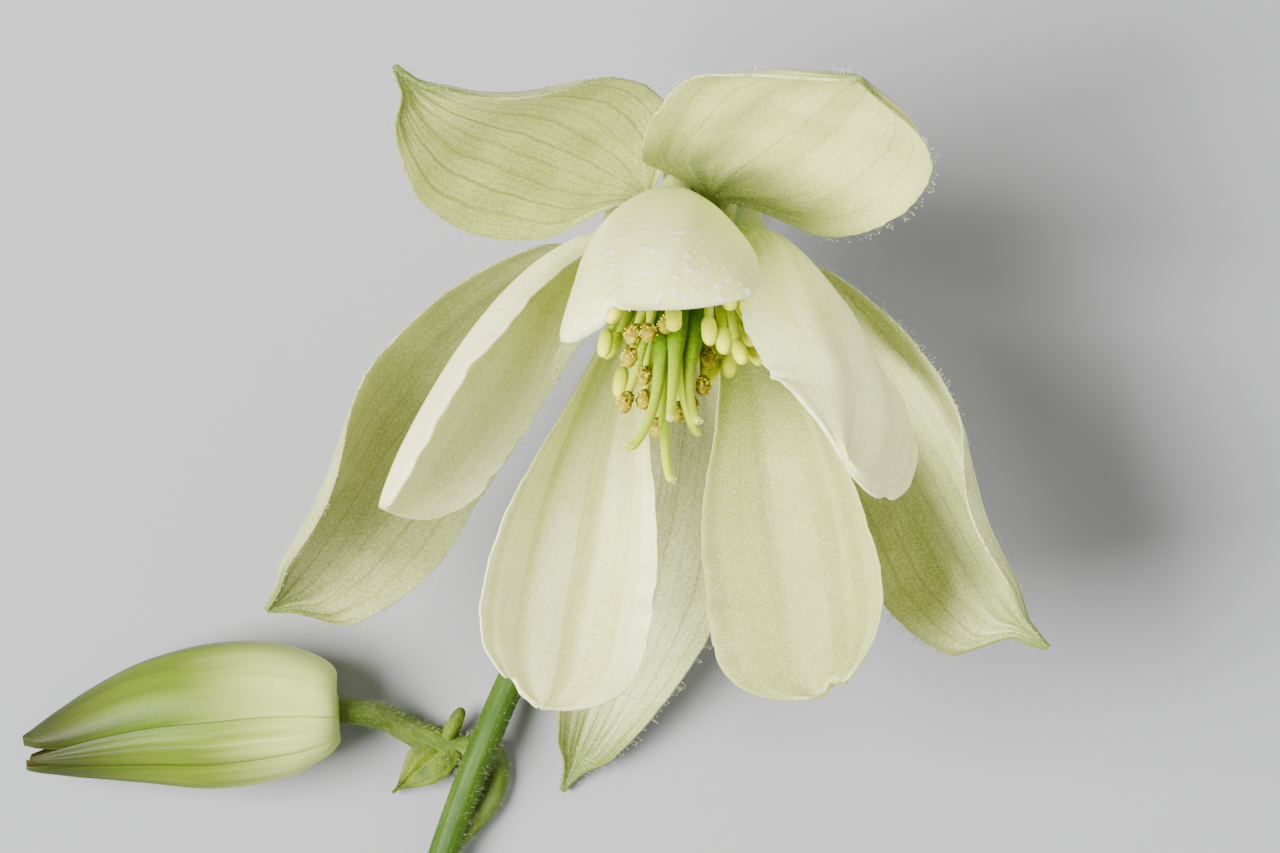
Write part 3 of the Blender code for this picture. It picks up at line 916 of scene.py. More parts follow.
FILAMENT = SoftFinish((0.16, 0.30, 0.002), (0.50, 0.60, 0.01), (0.56, 0.64, 0.03))
POLLEN = SoftFinish((0.80, 0.72, 0.02), (0.92, 0.86, 0.05), (0.42, 0.30, 0.006))
ANTHER_SKINS = {
    Anther.FRESH: SoftFinish((0.50, 0.58, 0.001), (0.92, 0.94, 0.004), (0.96, 0.97, 0.03), 9.0, 0.3, 0.5),
    Anther.SPENT: SoftFinish(
        (0.16, 0.11, 0.002), (0.34, 0.27, 0.006), (0.66, 0.58, 0.02), 5.0, 0.75, 0.7, 0.08
    ),
}
CARPEL_SKIN = SoftFinish((0.08, 0.21, 0.0008), (0.56, 0.66, 0.012), (0.22, 0.36, 0.003), 6.0, 0.3, 0.4)
STIGMA_TUFT = SoftFinish((0.62, 0.68, 0.16), (0.84, 0.87, 0.34), (0.92, 0.93, 0.55), 8.0, 0.5, 0.4)
STALK_SKIN = StemFinish()
BRANCH_SKIN = StemFinish((0.05, 0.09, 0.002), (0.11, 0.17, 0.008), (0.16, 0.20, 0.05), 0.55)


class Piece:
    """One piece of the spray: a mesh with its finishes that stands for a solid."""

    piece_name: str
    stands_for: str
    record_slot: str

    def gather(self, tissue: Tissue) -> None:
        """Adds the piece's points and faces."""
        raise NotImplementedError

    def dress(self) -> list[Material]:
        """The piece's materials, in the order that its faces number them."""
        raise NotImplementedError

    def coat(self, finish: Finish, part: str = "skin") -> Material:
        """One of the piece's materials, named for the piece and the part of it."""
        return finish.make(f"{self.piece_name}_{part}")

    def make(self) -> bpy.types.Object:
        """Builds the piece, dresses it and sets it on the frame.

        Returns:
            The finished object.
        """
        tissue = Tissue()
        self.gather(tissue)
        made = tissue.make_object(self.piece_name, self.dress())
        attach(made, "root")
        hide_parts(self.stands_for)
        LOG.info("%s: %d faces for %s", made.name, len(made.data.polygons), self.stands_for)
        return made


@dataclass(frozen=True)
class Notch:
    """A small bite in a blade's margin: its place across and along, as shares, its depth and its size."""

    across: float
    along: float
    depth: float
    size: float


@dataclass(frozen=True, kw_only=True)
class Blade(Piece):
    """A sepal or a petal's limb, by values at stations spaced evenly from its base to its tip.

    place names it within its ring, and turn is where it stands round the flower's axis. lean is the
    spine's angle from the axis, sweep its angle to the side, roll its twist, and cup the half angle of
    its section's arc. start is the base's distance from the axis and its height.
    """

    kind: ClassVar[str]
    place: str
    turn: float
    length: float
    half_width: float
    lean: Values
    sweep: Values
    roll: Values = (0, 0, 0)
    cup: Values
    outline: Values
    finish: Finish
    seed: int
    notches: tuple[Notch, ...] = ()
    notch_aim: float = 0.55
    start: Span
    thickness: float = 0.3
    edge_thickness: float = 0.1
    spine_steps: int = 240
    columns: int
    rows: int

    @property
    def piece_name(self) -> str:
        """The piece's name, such as top_petal."""
        return f"{self.place}_{self.kind}"

    @property
    def stands_for(self) -> str:
        """The solid's name, such as petal_top."""
        return f"{self.kind}_{self.place}"

    @property
    def record_slot(self) -> str:
        """The slot of the record that it is made of."""
        return self.kind

    def skeleton(self) -> tuple[Array, Array, Array, Array]:
        """The blade's spine.

        Returns:
            Stations from 0 to 1, and for each the spine's point, the direction into the flower and the
            direction across the blade.
        """
        t = np.linspace(0.0, 1.0, self.spine_steps)
        lean, sweep, roll = (np.radians(through(v, t))[:, None] for v in (self.lean, self.sweep, self.roll))
        away, ring, axis = FLOWER.outward(self.turn), FLOWER.outward(self.turn + 90.0), FLOWER.axis()
        forward = np.sin(lean) * away + np.cos(lean) * axis
        tangent = np.cos(sweep) * forward + np.sin(sweep) * ring
        inner = -np.cos(lean) * away + np.sin(lean) * axis
        side = np.cos(sweep) * ring - np.sin(sweep) * forward
        across = np.cos(roll) * side + np.sin(roll) * inner
        into = np.cos(roll) * inner - np.sin(roll) * side
        moves = (tangent[1:] + tangent[:-1]) * 0.5 * self.length / (self.spine_steps - 1)
        spine = np.concatenate([np.zeros((1, 3)), np.cumsum(moves, axis=0)])
        return t, spine + FLOWER.place(self.turn, *self.start), into, across

    def width(self, t: Array) -> Array:
        """Half the blade's width at each station."""
        raise NotImplementedError

    def lift(self, u: Array, t: Array) -> Array:
        """How far the blade's face swells towards the flower's inside."""
        raise NotImplementedError

    def bitten(self, u: Array, t: Array) -> tuple[Array, Array]:
        """Where each point of the grid lies once the margin has its notches.

        Args:
            u: places across, from -1 to 1.
            t: places along, from 0 to 1.

        Returns:
            The same with the margin pulled in at each notch.
        """
        x, y = u * self.width(t), t * self.length
        for notch in self.notches:
            at_x = notch.across * self.half_width
            at_y = notch.along * self.length
            back = unit(np.array([-at_x, self.notch_aim * self.length - at_y]))
            near = np.exp(-((x - at_x) ** 2 + (y - at_y) ** 2) / notch.size**2)
            x = x + back[0] * notch.depth * near
            y = y + back[1] * notch.depth * near
        t = np.clip(y / self.length, 0.0, 1.0)
        return np.clip(x / self.width(t), -1.0, 1.0), t

    def section(self, u: Array, t: Array) -> tuple[Array, Array]:
        """The blade's inner face.

        Args:
            u: places across, from -1 to 1.
            t: places along, from 0 to 1.

        Returns:
            The points, and the direction that the face looks in at each.
        """
        stations, spine, into, across = self.skeleton()
        at, into, across = (read_rows(t, stations, rows) for rows in (spine, into, across))
        arc = np.radians(through(self.cup, t))
        radius = self.width(t) / arc
        sideways = (radius * np.sin(u * arc))[..., None]
        inwards = (radius * (1.0 - np.cos(u * arc)) + self.lift(u, t))[..., None]
        facing = np.cos(u * arc)[..., None] * into - np.sin(u * arc)[..., None] * across
        return at + sideways * across + inwards * into, facing

    def depth(self, u: Array) -> Array:
        """The blade's thickness, which thins towards its margins."""
        return self.edge_thickness + (self.thickness - self.edge_thickness) * (1.0 - np.abs(u) ** 4)


@dataclass(frozen=True, kw_only=True)
class Sepal(Blade):
    """A sepal of the open flower: a narrow claw, a broad belly, a pointed tip and a fringe of hairs.

    Its horn is the narrow tip: from horn_lead before horn_start the width falls by the share pinch over
    horn_run, and from tip_start on it closes. Hairs on the outer face are outside_size as long as those
    of the margin, which turn away from the face by the share margin_turn.
    """

    kind: ClassVar[str] = "sepal"
    cup: Values = (15, 30, 28, 30, 60, 60)
    start: Span = (1.9, -0.2)
    columns: int = 45
    rows: int = 110
    claw_end: float = 0.2
    least_half_width: float = 0.35
    unevenness: float = 0.008
    furrows: float = 4.0
    furrow_depth: float = 0.07
    wave: float = 0.05
    horn_start: float = 0.95
    horn_lead: float = 0.05
    horn_run: float = 0.06
    pinch: float = 0.5
    tip_start: float = 0.965
    tip_run: float = 0.035
    tip_closing: float = 0.96
    fringe_gap: float = 0.26
    fringe_start: float = 0.06
    outside_hairs_per_mm: float = 7.0
    outside_half: float = 0.95
    outside_reach: Span = (0.04, 0.99)
    outside_size: float = 0.75
    margin_turn: float = 0.75
    margin_step: float = 0.97
    hair_spread: float = 0.28
    hair_length: Span = (0.18, 0.5)
    hair_radius: float = 0.016
    gland_radius: float = 0.034

    def width(self, t: Array) -> Array:
        """Half the sepal's width.

        Args:
            t: places along, from 0 to 1.

        Returns:
            The half width at each place.
        """
        belly, taper = self.outline
        peak = belly / (belly + taper)
        t = np.clip(t, 1e-6, 1.0 - 1e-6)
        shape = t**belly * (1.0 - t) ** taper / (peak**belly * (1.0 - peak) ** taper)
        uneven = 1.0 + self.unevenness * ripple(t * self.length, self.seed, 6.0, 0.9)
        wide = self.half_width * shape * smooth_rise(t / self.claw_end) * uneven
        wide = np.maximum(wide, self.least_half_width * (2.0 - t))
        wide = wide * (1.0 - self.pinch * smooth_rise((t - self.horn_start + self.horn_lead) / self.horn_run))
        past = np.clip((t - self.tip_start) / self.tip_run, 0.0, 1.0)
        return wide * np.sqrt(1.0 - self.tip_closing * past**2)

    def lift(self, u: Array, t: Array) -> Array:
        """Soft furrows along the sepal, and a slow wave of its margins.

        Args:
            u: places across, from -1 to 1.
            t: places along, from 0 to 1.

        Returns:
            How far the face swells at each place.
        """
        belly = np.sin(math.pi * np.clip(t, 0.0, 1.0)) ** 0.6
        wander = 0.6 * ripple(t * 3.0, self.seed, 2.0, 0.7)
        furrow = self.furrow_depth * np.cos(math.pi * self.furrows * u + wander)
        waves = ripple(t * self.length + 3.0 * np.sign(u), self.seed + 9, 14.0, 4.0)
        return (furrow + self.wave * np.abs(u) ** 3 * waves) * belly

    def gather(self, tissue: Tissue) -> None:
        """Adds the sepal's sheet and its hairs.

        Args:
            tissue: what they are added to.
        """
        u, t = np.meshgrid(np.linspace(-1.0, 1.0, self.columns), np.linspace(0.0, 1.0, self.rows))
        points, facing = self.section(*self.bitten(u, t))
        tissue.add_sheet(points, points - facing * self.depth(u)[..., None], t, u)
        self.add_fringe(tissue)

    def add_fringe(self, tissue: Tissue) -> None:
        """Adds the short gland-tipped hairs of the margins and of the outer face.

        Args:
            tissue: what they are added to.
        """
        draw = np.random.default_rng(100 + self.seed)
        count = int(self.length / self.fringe_gap)
        t = np.concatenate([draw.uniform(self.fringe_start, 1.0, count) for _ in range(2)])
        u = np.concatenate([np.full(count, -1.0), np.full(count, 1.0)])
        self.stand_hairs(tissue, draw, u, t, edge=1.0)
        count = int(self.length * self.outside_hairs_per_mm)
        u = draw.uniform(-self.outside_half, self.outside_half, count)
        t = draw.uniform(*self.outside_reach, count)
        self.stand_hairs(tissue, draw, u, t, edge=0.0)

    def stand_hairs(self, tissue: Tissue, draw: Draw, u: Array, t: Array, edge: float) -> None:
        """Stands hairs on the outer face.

        Args:
            tissue: what they are added to.
            draw: picks their lengths and ways.
            u: their places across.
            t: their places along.
            edge: 1 for hairs that point out from the margin, 0 for hairs square to the face.
        """
        points, facing = self.section(u, t)
        ahead, _ = self.section(u * self.margin_step, t)
        out = unit(points - ahead) * edge - facing * (1.0 - self.margin_turn * edge)
        ways = unit(out) + draw.normal(0.0, self.hair_spread, out.shape)
        lengths = draw.uniform(*self.hair_length, len(u)) * (1.0 if edge else self.outside_size)
        roots = points - facing * self.depth(u)[:, None] * (0.5 if edge else 1.0)
        tissue.add_hairs(roots, ways, lengths, self.hair_radius, self.gland_radius)

    def dress(self) -> list[Material]:
        """The sepal's tissue and its hairs."""
        return [self.coat(self.finish), self.coat(HairFinish(), "hairs")]


@dataclass(frozen=True, kw_only=True)
class Petal(Blade):
    """A petal: a limb that opens from a funnel, and the short hooked spur that the funnel runs back into.

    The spur's stations give the distance from the flower's axis, the height along it and the radius.
    spur_mark is how far along, against the limb, the spur's tip is said to lie, and ahead_step the step
    over which the spine's direction is taken.
    """

    kind: ClassVar[str] = "petal"
    start: Span = (3.4, 0.6)
    columns: int = 49
    rows: int = 96
    least_half_width: float = 0.2
    unevenness: float = 0.007
    end_power: float = 2.4
    row_crowding: float = 0.75
    folds: float = 3.0
    fold_depth: float = 0.09
    fold_start: float = 0.15
    fold_run: float = 0.3
    wave: float = 0.2
    wave_end: float = 0.93
    throat_row: float = 0.12
    ahead_step: float = 0.02
    spur_mark: float = -0.45
    spur: tuple[Point, ...] = (
        (2.3, -3.85, 0.06),
        (2.45, -3.88, 0.42),
        (2.75, -3.75, 0.75),
        (3.35, -3.1, 0.93),
        (3.6, -1.9, 0.78),
        (3.5, -0.6, 0.64),
    )
    spur_wall: float = 0.18
    spur_rows: int = 26
    funnel_rows: int = 12

    def width(self, t: Array) -> Array:
        """Half the limb's width: a throat that opens to full width, then a rounded end.

        Args:
            t: places along, from 0 to 1.

        Returns:
            The half width at each place.
        """
        throat, opened, rounding = self.outline
        wide = throat + (1.0 - throat) * smooth_rise(t / opened)
        past = np.clip((t - rounding) / (1.0 - rounding), 0.0, 1.0)
        end = np.sqrt(np.maximum(0.0, 1.0 - past**self.end_power))
        uneven = 1.0 + self.unevenness * ripple(t * self.length, self.seed, 4.0, 0.6)
        return np.maximum(self.half_width * wide * end * uneven, self.least_half_width)

    def lift(self, u: Array, t: Array) -> Array:
        """Shallow lengthwise folds, and the slight wave of the free margins.

        Args:
            u: places across, from -1 to 1.
            t: places along, from 0 to 1.

        Returns:
            How far the face swells at each place.
        """
        t = np.clip(t, 0.0, 1.0)
        wander = 0.5 * ripple(t * 2.0, self.seed + 3, 1.6, 0.6)
        fold = self.fold_depth * np.cos(math.pi * self.folds * u + wander)
        waves = ripple(t * self.length + 5.0 * np.sign(u), self.seed + 5, 8.0, 1.6)
        margin = self.wave * np.abs(u) ** 3 * t * waves
        opened = smooth_rise((t - self.fold_start) / self.fold_run)
        return fold * opened + margin * np.sin(math.pi * np.minimum(t, self.wave_end)) ** 0.5

    def gather(self, tissue: Tissue) -> None:
        """Adds the limb, the funnel and the spur as one continuous sheet.

        Args:
            tissue: what they are added to.
        """
        row = np.linspace(0.0, 1.0, self.rows)
        row = row + (np.sin(math.pi * row / 2.0) - row) * self.row_crowding
        row = self.throat_row + (1.0 - self.throat_row) * row
        u, t = np.meshgrid(np.linspace(-1.0, 1.0, self.columns), row)
        limb, facing = self.section(*self.bitten(u, t))
        limb_back = limb - facing * self.depth(u)[..., None]
        tube, tube_back = self.make_spur(u[0])
        inner, outer = np.concatenate([tube, limb]), np.concatenate([tube_back, limb_back])
        along = np.concatenate([np.linspace(self.spur_mark, self.throat_row - 0.01, len(tube)), row])[:, None]
        tissue.add_sheet(inner, outer, along, u[:1])

    def make_spur(self, u: Array) -> tuple[Array, Array]:
        """The spur and the funnel, whose section opens from a full circle to the limb's arc.

        Args:
            u: places round the section, from -1 to 1.

        Returns:
            The points of the inside and of the outside, one row for each step from the spur's tip.
        """
        spur = through(np.array(self.spur), np.linspace(0.0, 1.0, self.spur_rows))
        middle, wide, arc, way = self.throat()
        away, axis = FLOWER.outward(self.turn), FLOWER.axis()
        flat = np.array([np.dot(middle - np.array(FLOWER.receptacle), d) for d in (away, axis)])
        s = np.linspace(0.0, 1.0, self.funnel_rows + 2)[1:-1, None]
        low, high = spur[-1, :2], flat
        reach = np.linalg.norm(high - low)
        lead = np.array([0.0, 1.0]) * reach
        leave = np.array([np.dot(way, away), np.dot(way, axis)]) * reach
        curve = (2 * s**3 - 3 * s**2 + 1) * low + (s**3 - 2 * s**2 + s) * lead
        curve = curve + (3 * s**2 - 2 * s**3) * high + (s**3 - s**2) * leave
        radius = spur[-1, 2] + (wide + self.thickness * 0.5 - spur[-1, 2]) * smooth_rise(s[:, 0]) ** 0.9
        centres = np.concatenate([spur[:, :2], curve])
        radii = np.concatenate([spur[:, 2], radius])
        arcs = np.concatenate([np.full(len(spur), math.pi), math.pi + (arc - math.pi) * smooth_rise(s[:, 0])])
        ahead = unit(np.gradient(np.concatenate([centres, flat[None]]), axis=0))[:-1]
        into = -ahead[:, 1:2] * away + ahead[:, 0:1] * axis
        ring = FLOWER.outward(self.turn + 90.0)
        centre = np.array(FLOWER.receptacle) + centres[:, :1] * away + centres[:, 1:] * axis
        angle = u[None, :] * arcs[:, None]
        spoke = np.sin(angle)[..., None] * ring - np.cos(angle)[..., None] * into[:, None]
        wall = np.minimum(self.spur_wall, radii * 0.5)[:, None, None]
        outer = centre[:, None] + radii[:, None, None] * spoke
        return outer - wall * spoke, outer

    def throat(self) -> tuple[Array, float, float, Array]:
        """The limb's first section, where the funnel ends.

        Returns:
            Its circle's middle, its radius, its half arc and the way the spine runs.
        """
        t = self.throat_row
        stations, spine, into, _ = self.skeleton()
        at, inwards = read_rows(t, stations, spine), read_rows(t, stations, into)
        arc = math.radians(float(through(self.cup, t)))
        wide = float(self.width(np.array(t))) / arc
        ahead = read_rows(t + self.ahead_step, stations, spine) - at
        return at + wide * inwards, wide, arc, unit(ahead)

    def dress(self) -> list[Material]:
        """The petal's tissue."""
        return [self.coat(self.finish)]


@dataclass(frozen=True, kw_only=True)
class Stamens(Piece):
    """A ring of stamens on a low foot ring: broad filaments that carry two-lobed anthers.

    ends gives each stamen's turn, and the distance and height at which its filament ends. body_share is
    how much of the anther's length and radius its body takes, seat how far beyond the filament's end its
    middle lies, as a share of its length, and nod how much it leans at random.
    """

    state: Anther
    foot: float
    ends: tuple[Point, ...]
    anther_length: float
    anther_radius: float
    body_share: Span
    groove: float
    crumple: float
    anther_sides: int
    anther_rings: int = 15
    foot_height: float = 0.6
    ring_radius: float = 0.26
    ring_points: int = 61
    filament_radius: float = 0.25
    filament_sides: int = 10
    filament_rows: int = 16
    bend: tuple[Span, ...] = ((0.0, 0.0), (0.25, 0.4), (0.6, 0.75), (1.0, 1.0))
    taper: Values = (1.1, 1.05, 0.95, 0.6)
    edge_height: float = 0.18
    wander: float = 0.04
    nod: float = 0.13
    seat: float = 0.3
    size_spread: Span = (0.92, 1.05)
    grains: int = 46
    grain_reach: Span = (0.75, 1.12)
    grain_length: float = 0.03
    grain_foot: float = 0.035
    grain_radius: float = 0.05
    seed: int = 47

    @property
    def piece_name(self) -> str:
        """The piece's name."""
        return f"{self.state.value}_stamens"

    @property
    def stands_for(self) -> str:
        """The solid's name."""
        return f"stamens_{self.state.value}"

    @property
    def record_slot(self) -> str:
        """The slot of the record that it is made of."""
        return f"{self.state.value}_anther"

    def gather(self, tissue: Tissue) -> None:
        """Adds the foot ring, the filaments and the anthers.

        Args:
            tissue: what they are added to.
        """
        turns = np.linspace(0.0, 360.0, self.ring_points)
        ring = FLOWER.place(turns, np.full_like(turns, self.foot), np.full_like(turns, self.foot_height))
        tissue.add_tube(np.column_stack([ring, np.full_like(turns, self.ring_radius)]), self.filament_sides)
        own = np.random.default_rng(self.seed)
        share = np.array(self.bend)
        for number, (turn, reach, height) in enumerate(self.ends):
            out = self.foot + share[:, 0] * (reach - self.foot)
            up = self.foot_height + share[:, 1] * (height - self.foot_height)
            stations = FLOWER.place(np.full(len(share), turn), out, up)
            stations[1:3] += own.normal(0.0, self.wander, (2, 3))
            radii = self.filament_radius * np.array(self.taper)
            route = through(np.column_stack([stations, radii]), np.linspace(0.0, 1.0, self.filament_rows))
            tissue.add_tube(route, self.filament_sides, 2, self.edge_height)
            way = unit(unit(stations[3] - stations[2]) + own.normal(0.0, self.nod, 3))
            middle = stations[3] + self.seat * self.anther_length * way
            self.add_anther(tissue, own, middle, way, number)

    def add_anther(self, tissue: Tissue, own: Draw, middle: Array, way: Array, number: int) -> None:
        """Adds one anther, and a spent one's loose pollen.

        Args:
            tissue: what it is added to.
            own: picks its size and its grains.
            middle: its middle.
            way: the direction it points in.
            number: which stamen carries it.
        """
        size = own.uniform(*self.size_spread)
        length, radius = self.anther_length * size, self.anther_radius * size
        tissue.add_body(
            middle, way, length * self.body_share[0], radius * self.body_share[1], groove=self.groove,
            crumple=self.crumple, seed=3 * number, finish=1, sides=self.anther_sides, rings=self.anther_rings,
        )
        if self.state is Anther.SPENT:
            spokes = unit(own.normal(size=(self.grains, 3)))
            places = middle + spokes * radius * own.uniform(*self.grain_reach, (self.grains, 1))
            lengths = np.full(self.grains, self.grain_length)
            tissue.add_hairs(places, spokes, lengths, self.grain_foot, self.grain_radius, finish=2)

    def dress(self) -> list[Material]:
        """The filaments, the anthers and the loose pollen."""
        skin = ANTHER_SKINS[self.state]
        return [self.coat(FILAMENT, "filaments"), self.coat(skin, "anthers"), self.coat(POLLEN, "pollen")]


@dataclass(frozen=True)
class Carpels(Piece):
    """Five green carpels fused at the foot, with slender styles whose pale tips curl outwards.

    body gives a carpel's distance from the axis, its height and its radius. tips gives each carpel's turn,
    and the turn, distance and height at which its style ends.
    """

    piece_name: str = "carpels_and_styles"
    stands_for: str = "carpels"
    record_slot: str = "carpel"
    body: tuple[Point, ...] = (
        (0.46, 0.6, 0.34),
        (0.62, 2.6, 0.46),
        (0.78, 5.2, 0.52),
        (0.8, 7.4, 0.46),
        (0.76, 8.8, 0.33),
    )
    tips: Route = (
        (0.0, 0.0, 1.6, 13.4),
        (72.0, 72.0, 1.5, 12.6),
        (144.0, 144.0, 2.2, 11.5),
        (216.0, 150.0, 0.6, 15.6),
        (288.0, 288.0, 2.2, 14.6),
    )
    bend: tuple[Span, ...] = ((0.06, 0.35), (0.3, 0.7), (0.68, 0.95), (1.0, 1.0))
    style_radii: Values = (0.26, 0.22, 0.2, 0.17)
    groove_height: float = 0.07
    rows: int = 90
    sides: int = 18
    foot_height: float = 0.75
    foot_length: float = 0.8
    foot_radius: float = 0.8
    tuft_points: int = 70
    tuft_reach: float = 0.13
    tuft_length: Span = (0.02, 0.06)
    tuft_foot: float = 0.025
    tuft_radius: float = 0.026
    tip_rows: int = 6
    seed: int = 31

    def gather(self, tissue: Tissue) -> None:
        """Adds the carpels, their styles and the stigmas' tufts.

        Args:
            tissue: what they are added to.
        """
        foot = FLOWER.place(0.0, 0.0, self.foot_height)
        tissue.add_body(foot, FLOWER.axis(), self.foot_length, self.foot_radius)
        own = np.random.default_rng(self.seed)
        body, share = np.array(self.body), np.array(self.bend)
        for turn, tip_turn, reach, height in self.tips:
            lower = FLOWER.place(np.full(len(body), turn), body[:, 0], body[:, 1])
            tip = FLOWER.place(tip_turn, reach, height)
            climb = np.dot(tip - lower[-1], FLOWER.axis()) * FLOWER.axis()
            upper = lower[-1] + share[:, :1] * (tip - lower[-1] - climb) + share[:, 1:] * climb
            stations = np.concatenate([lower, upper])
            radii = np.concatenate([body[:, 2], self.style_radii])
            route = through(np.column_stack([stations, radii]), np.linspace(0.0, 1.0, self.rows))
            tissue.add_tube(route, self.sides, 2, self.groove_height)
            self.add_stigma(tissue, own, route[-self.tip_rows :, :3])

    def add_stigma(self, tissue: Tissue, own: Draw, tip: Array) -> None:
        """Adds the pale tuft at a style's tip.

        Args:
            tissue: what it is added to.
            own: picks the tuft's points.
            tip: the style's last points.
        """
        spots = tip[own.integers(0, len(tip), self.tuft_points)]
        ways = unit(own.normal(size=(self.tuft_points, 3)))
        lengths = own.uniform(*self.tuft_length, self.tuft_points)
        tissue.add_hairs(spots + ways * self.tuft_reach, ways, lengths, self.tuft_foot, self.tuft_radius)

    def dress(self) -> list[Material]:
        """The green of the carpels, and their pale stigmas."""
        return [CARPEL_SKIN.make("carpel_skin"), STIGMA_TUFT.make("stigma_tufts")]


@dataclass(frozen=True)
class Stem(Piece):
    """The stalk from its receptacle to its cut end, with the side branch, both ribbed and hairy."""

    piece_name: str = "stalk_and_branch"
    stands_for: str = "stem"
    record_slot: str = "stalk"
    stalk: Route = (
        (2.32, 10.3, 12.5, 0.7),
        (2.43, 11.95, 11.1, 0.68),
        (2.9, 13.6, 8.6, 0.68),
        (3.6, 13.9, 5.2, 0.7),
        (4.2, 12.2, 2.0, 0.72),
        (4.1, 8.9, 0.7, 0.74),
        (2.4, 3.4, 0.68, 0.75),
        (-1.8, -4.0, 0.95, 0.76),
        (-6.1, -12.0, 1.75, 0.77),
        (-8.2, -16.7, 2.25, 0.78),
        (-9.9, -21.2, 1.6, 0.79),
        (-12.0, -27.5, 0.76, 0.8),
        (-14.3, -34.5, 0.76, 0.82),
    )
    branch: Route = (
        (-10.3, -22.3, 1.4, 0.5),
        (-9.2, -21.1, 1.0, 0.62),
        (-8.0, -19.7, 0.68, 0.66),
        (-7.55, -18.2, 0.64, 0.67),
        (-7.95, -17.1, 0.64, 0.67),
        (-9.3, -16.85, 0.66, 0.7),
        (-10.7, -16.6, 0.8, 0.82),
        (-12.0, -15.95, 1.1, 0.72),
        (-13.3, -15.25, 2.0, 0.68),
        (-14.5, -14.9, 3.0, 0.66),
        (-15.6, -14.8, 3.46, 0.64),
        (-16.3, -14.8, 3.5, 0.5),
    )
    step: float = 0.35
    sides: int = 26
    ribs: int = 9
    rib_height: float = 0.035
    receptacle_height: float = -0.35
    receptacle_length: float = 1.1
    receptacle_radius: float = 1.5
    receptacle_sides: int = 28
    hairs_per_mm: float = 60.0
    densities: Span = (1.0, 1.5)
    hair_length: Span = (0.12, 0.4)
    hair_radius: float = 0.009
    hair_spread: float = 0.3
    hair_slant: float = 0.2
    hair_clearance: float = 0.05
    seed: int = 61

    def gather(self, tissue: Tissue) -> None:
        """Adds the stalk, the branch, the receptacle and the hairs.

        Args:
            tissue: what they are added to.
        """
        own = np.random.default_rng(self.seed)
        for number, line in enumerate((self.stalk, self.branch)):
            route = evenly(np.array(line), self.step)
            tissue.add_tube(route, self.sides, self.ribs, self.rib_height, number)
            self.add_hairs(tissue, own, route, self.densities[number])
        tissue.add_body(
            FLOWER.place(0.0, 0.0, self.receptacle_height), FLOWER.axis(), self.receptacle_length,
            self.receptacle_radius, sides=self.receptacle_sides,
        )

    def add_hairs(self, tissue: Tissue, own: Draw, route: Array, density: float) -> None:
        """Stands fine hairs all round a stalk, and leaves its lowest side bare where it lies on the surface.

        Args:
            tissue: what they are added to.
            own: picks their places.
            route: the stalk's rows of x, y, z and radius.
            density: how dense they are against the usual.
        """
        length = np.linalg.norm(np.diff(route[:, :3], axis=0), axis=1).sum()
        count = int(length * self.hairs_per_mm * density)
        first, second = Tissue.carried_frame(route[:, :3])
        tangent = unit(np.gradient(route[:, :3], axis=0))
        row = own.integers(0, len(route) - 1, count)
        slide = own.uniform(0.0, 1.0, (count, 1))
        turn = own.uniform(0.0, 2.0 * math.pi, (count, 1))
        spoke = np.cos(turn) * first[row] + np.sin(turn) * second[row]
        middle = route[row] * (1.0 - slide) + route[row + 1] * slide
        roots = middle[:, :3] + spoke * middle[:, 3:]
        ways = spoke + own.normal(0.0, self.hair_spread, spoke.shape) - self.hair_slant * tangent[row]
        lengths = own.uniform(*self.hair_length, count)
        clear = (roots + unit(ways) * lengths[:, None])[:, 2] > self.hair_clearance
        clear &= roots[:, 2] > self.hair_clearance
        tissue.add_hairs(roots[clear], ways[clear], lengths[clear], self.hair_radius, finish=2)

    def dress(self) -> list[Material]:
        """The stalk's green, the branch's duller green and the hairs."""
        return [
            STALK_SKIN.make("stalk_skin"), BRANCH_SKIN.make("branch_skin"), HairFinish().make("stalk_hairs")
        ]


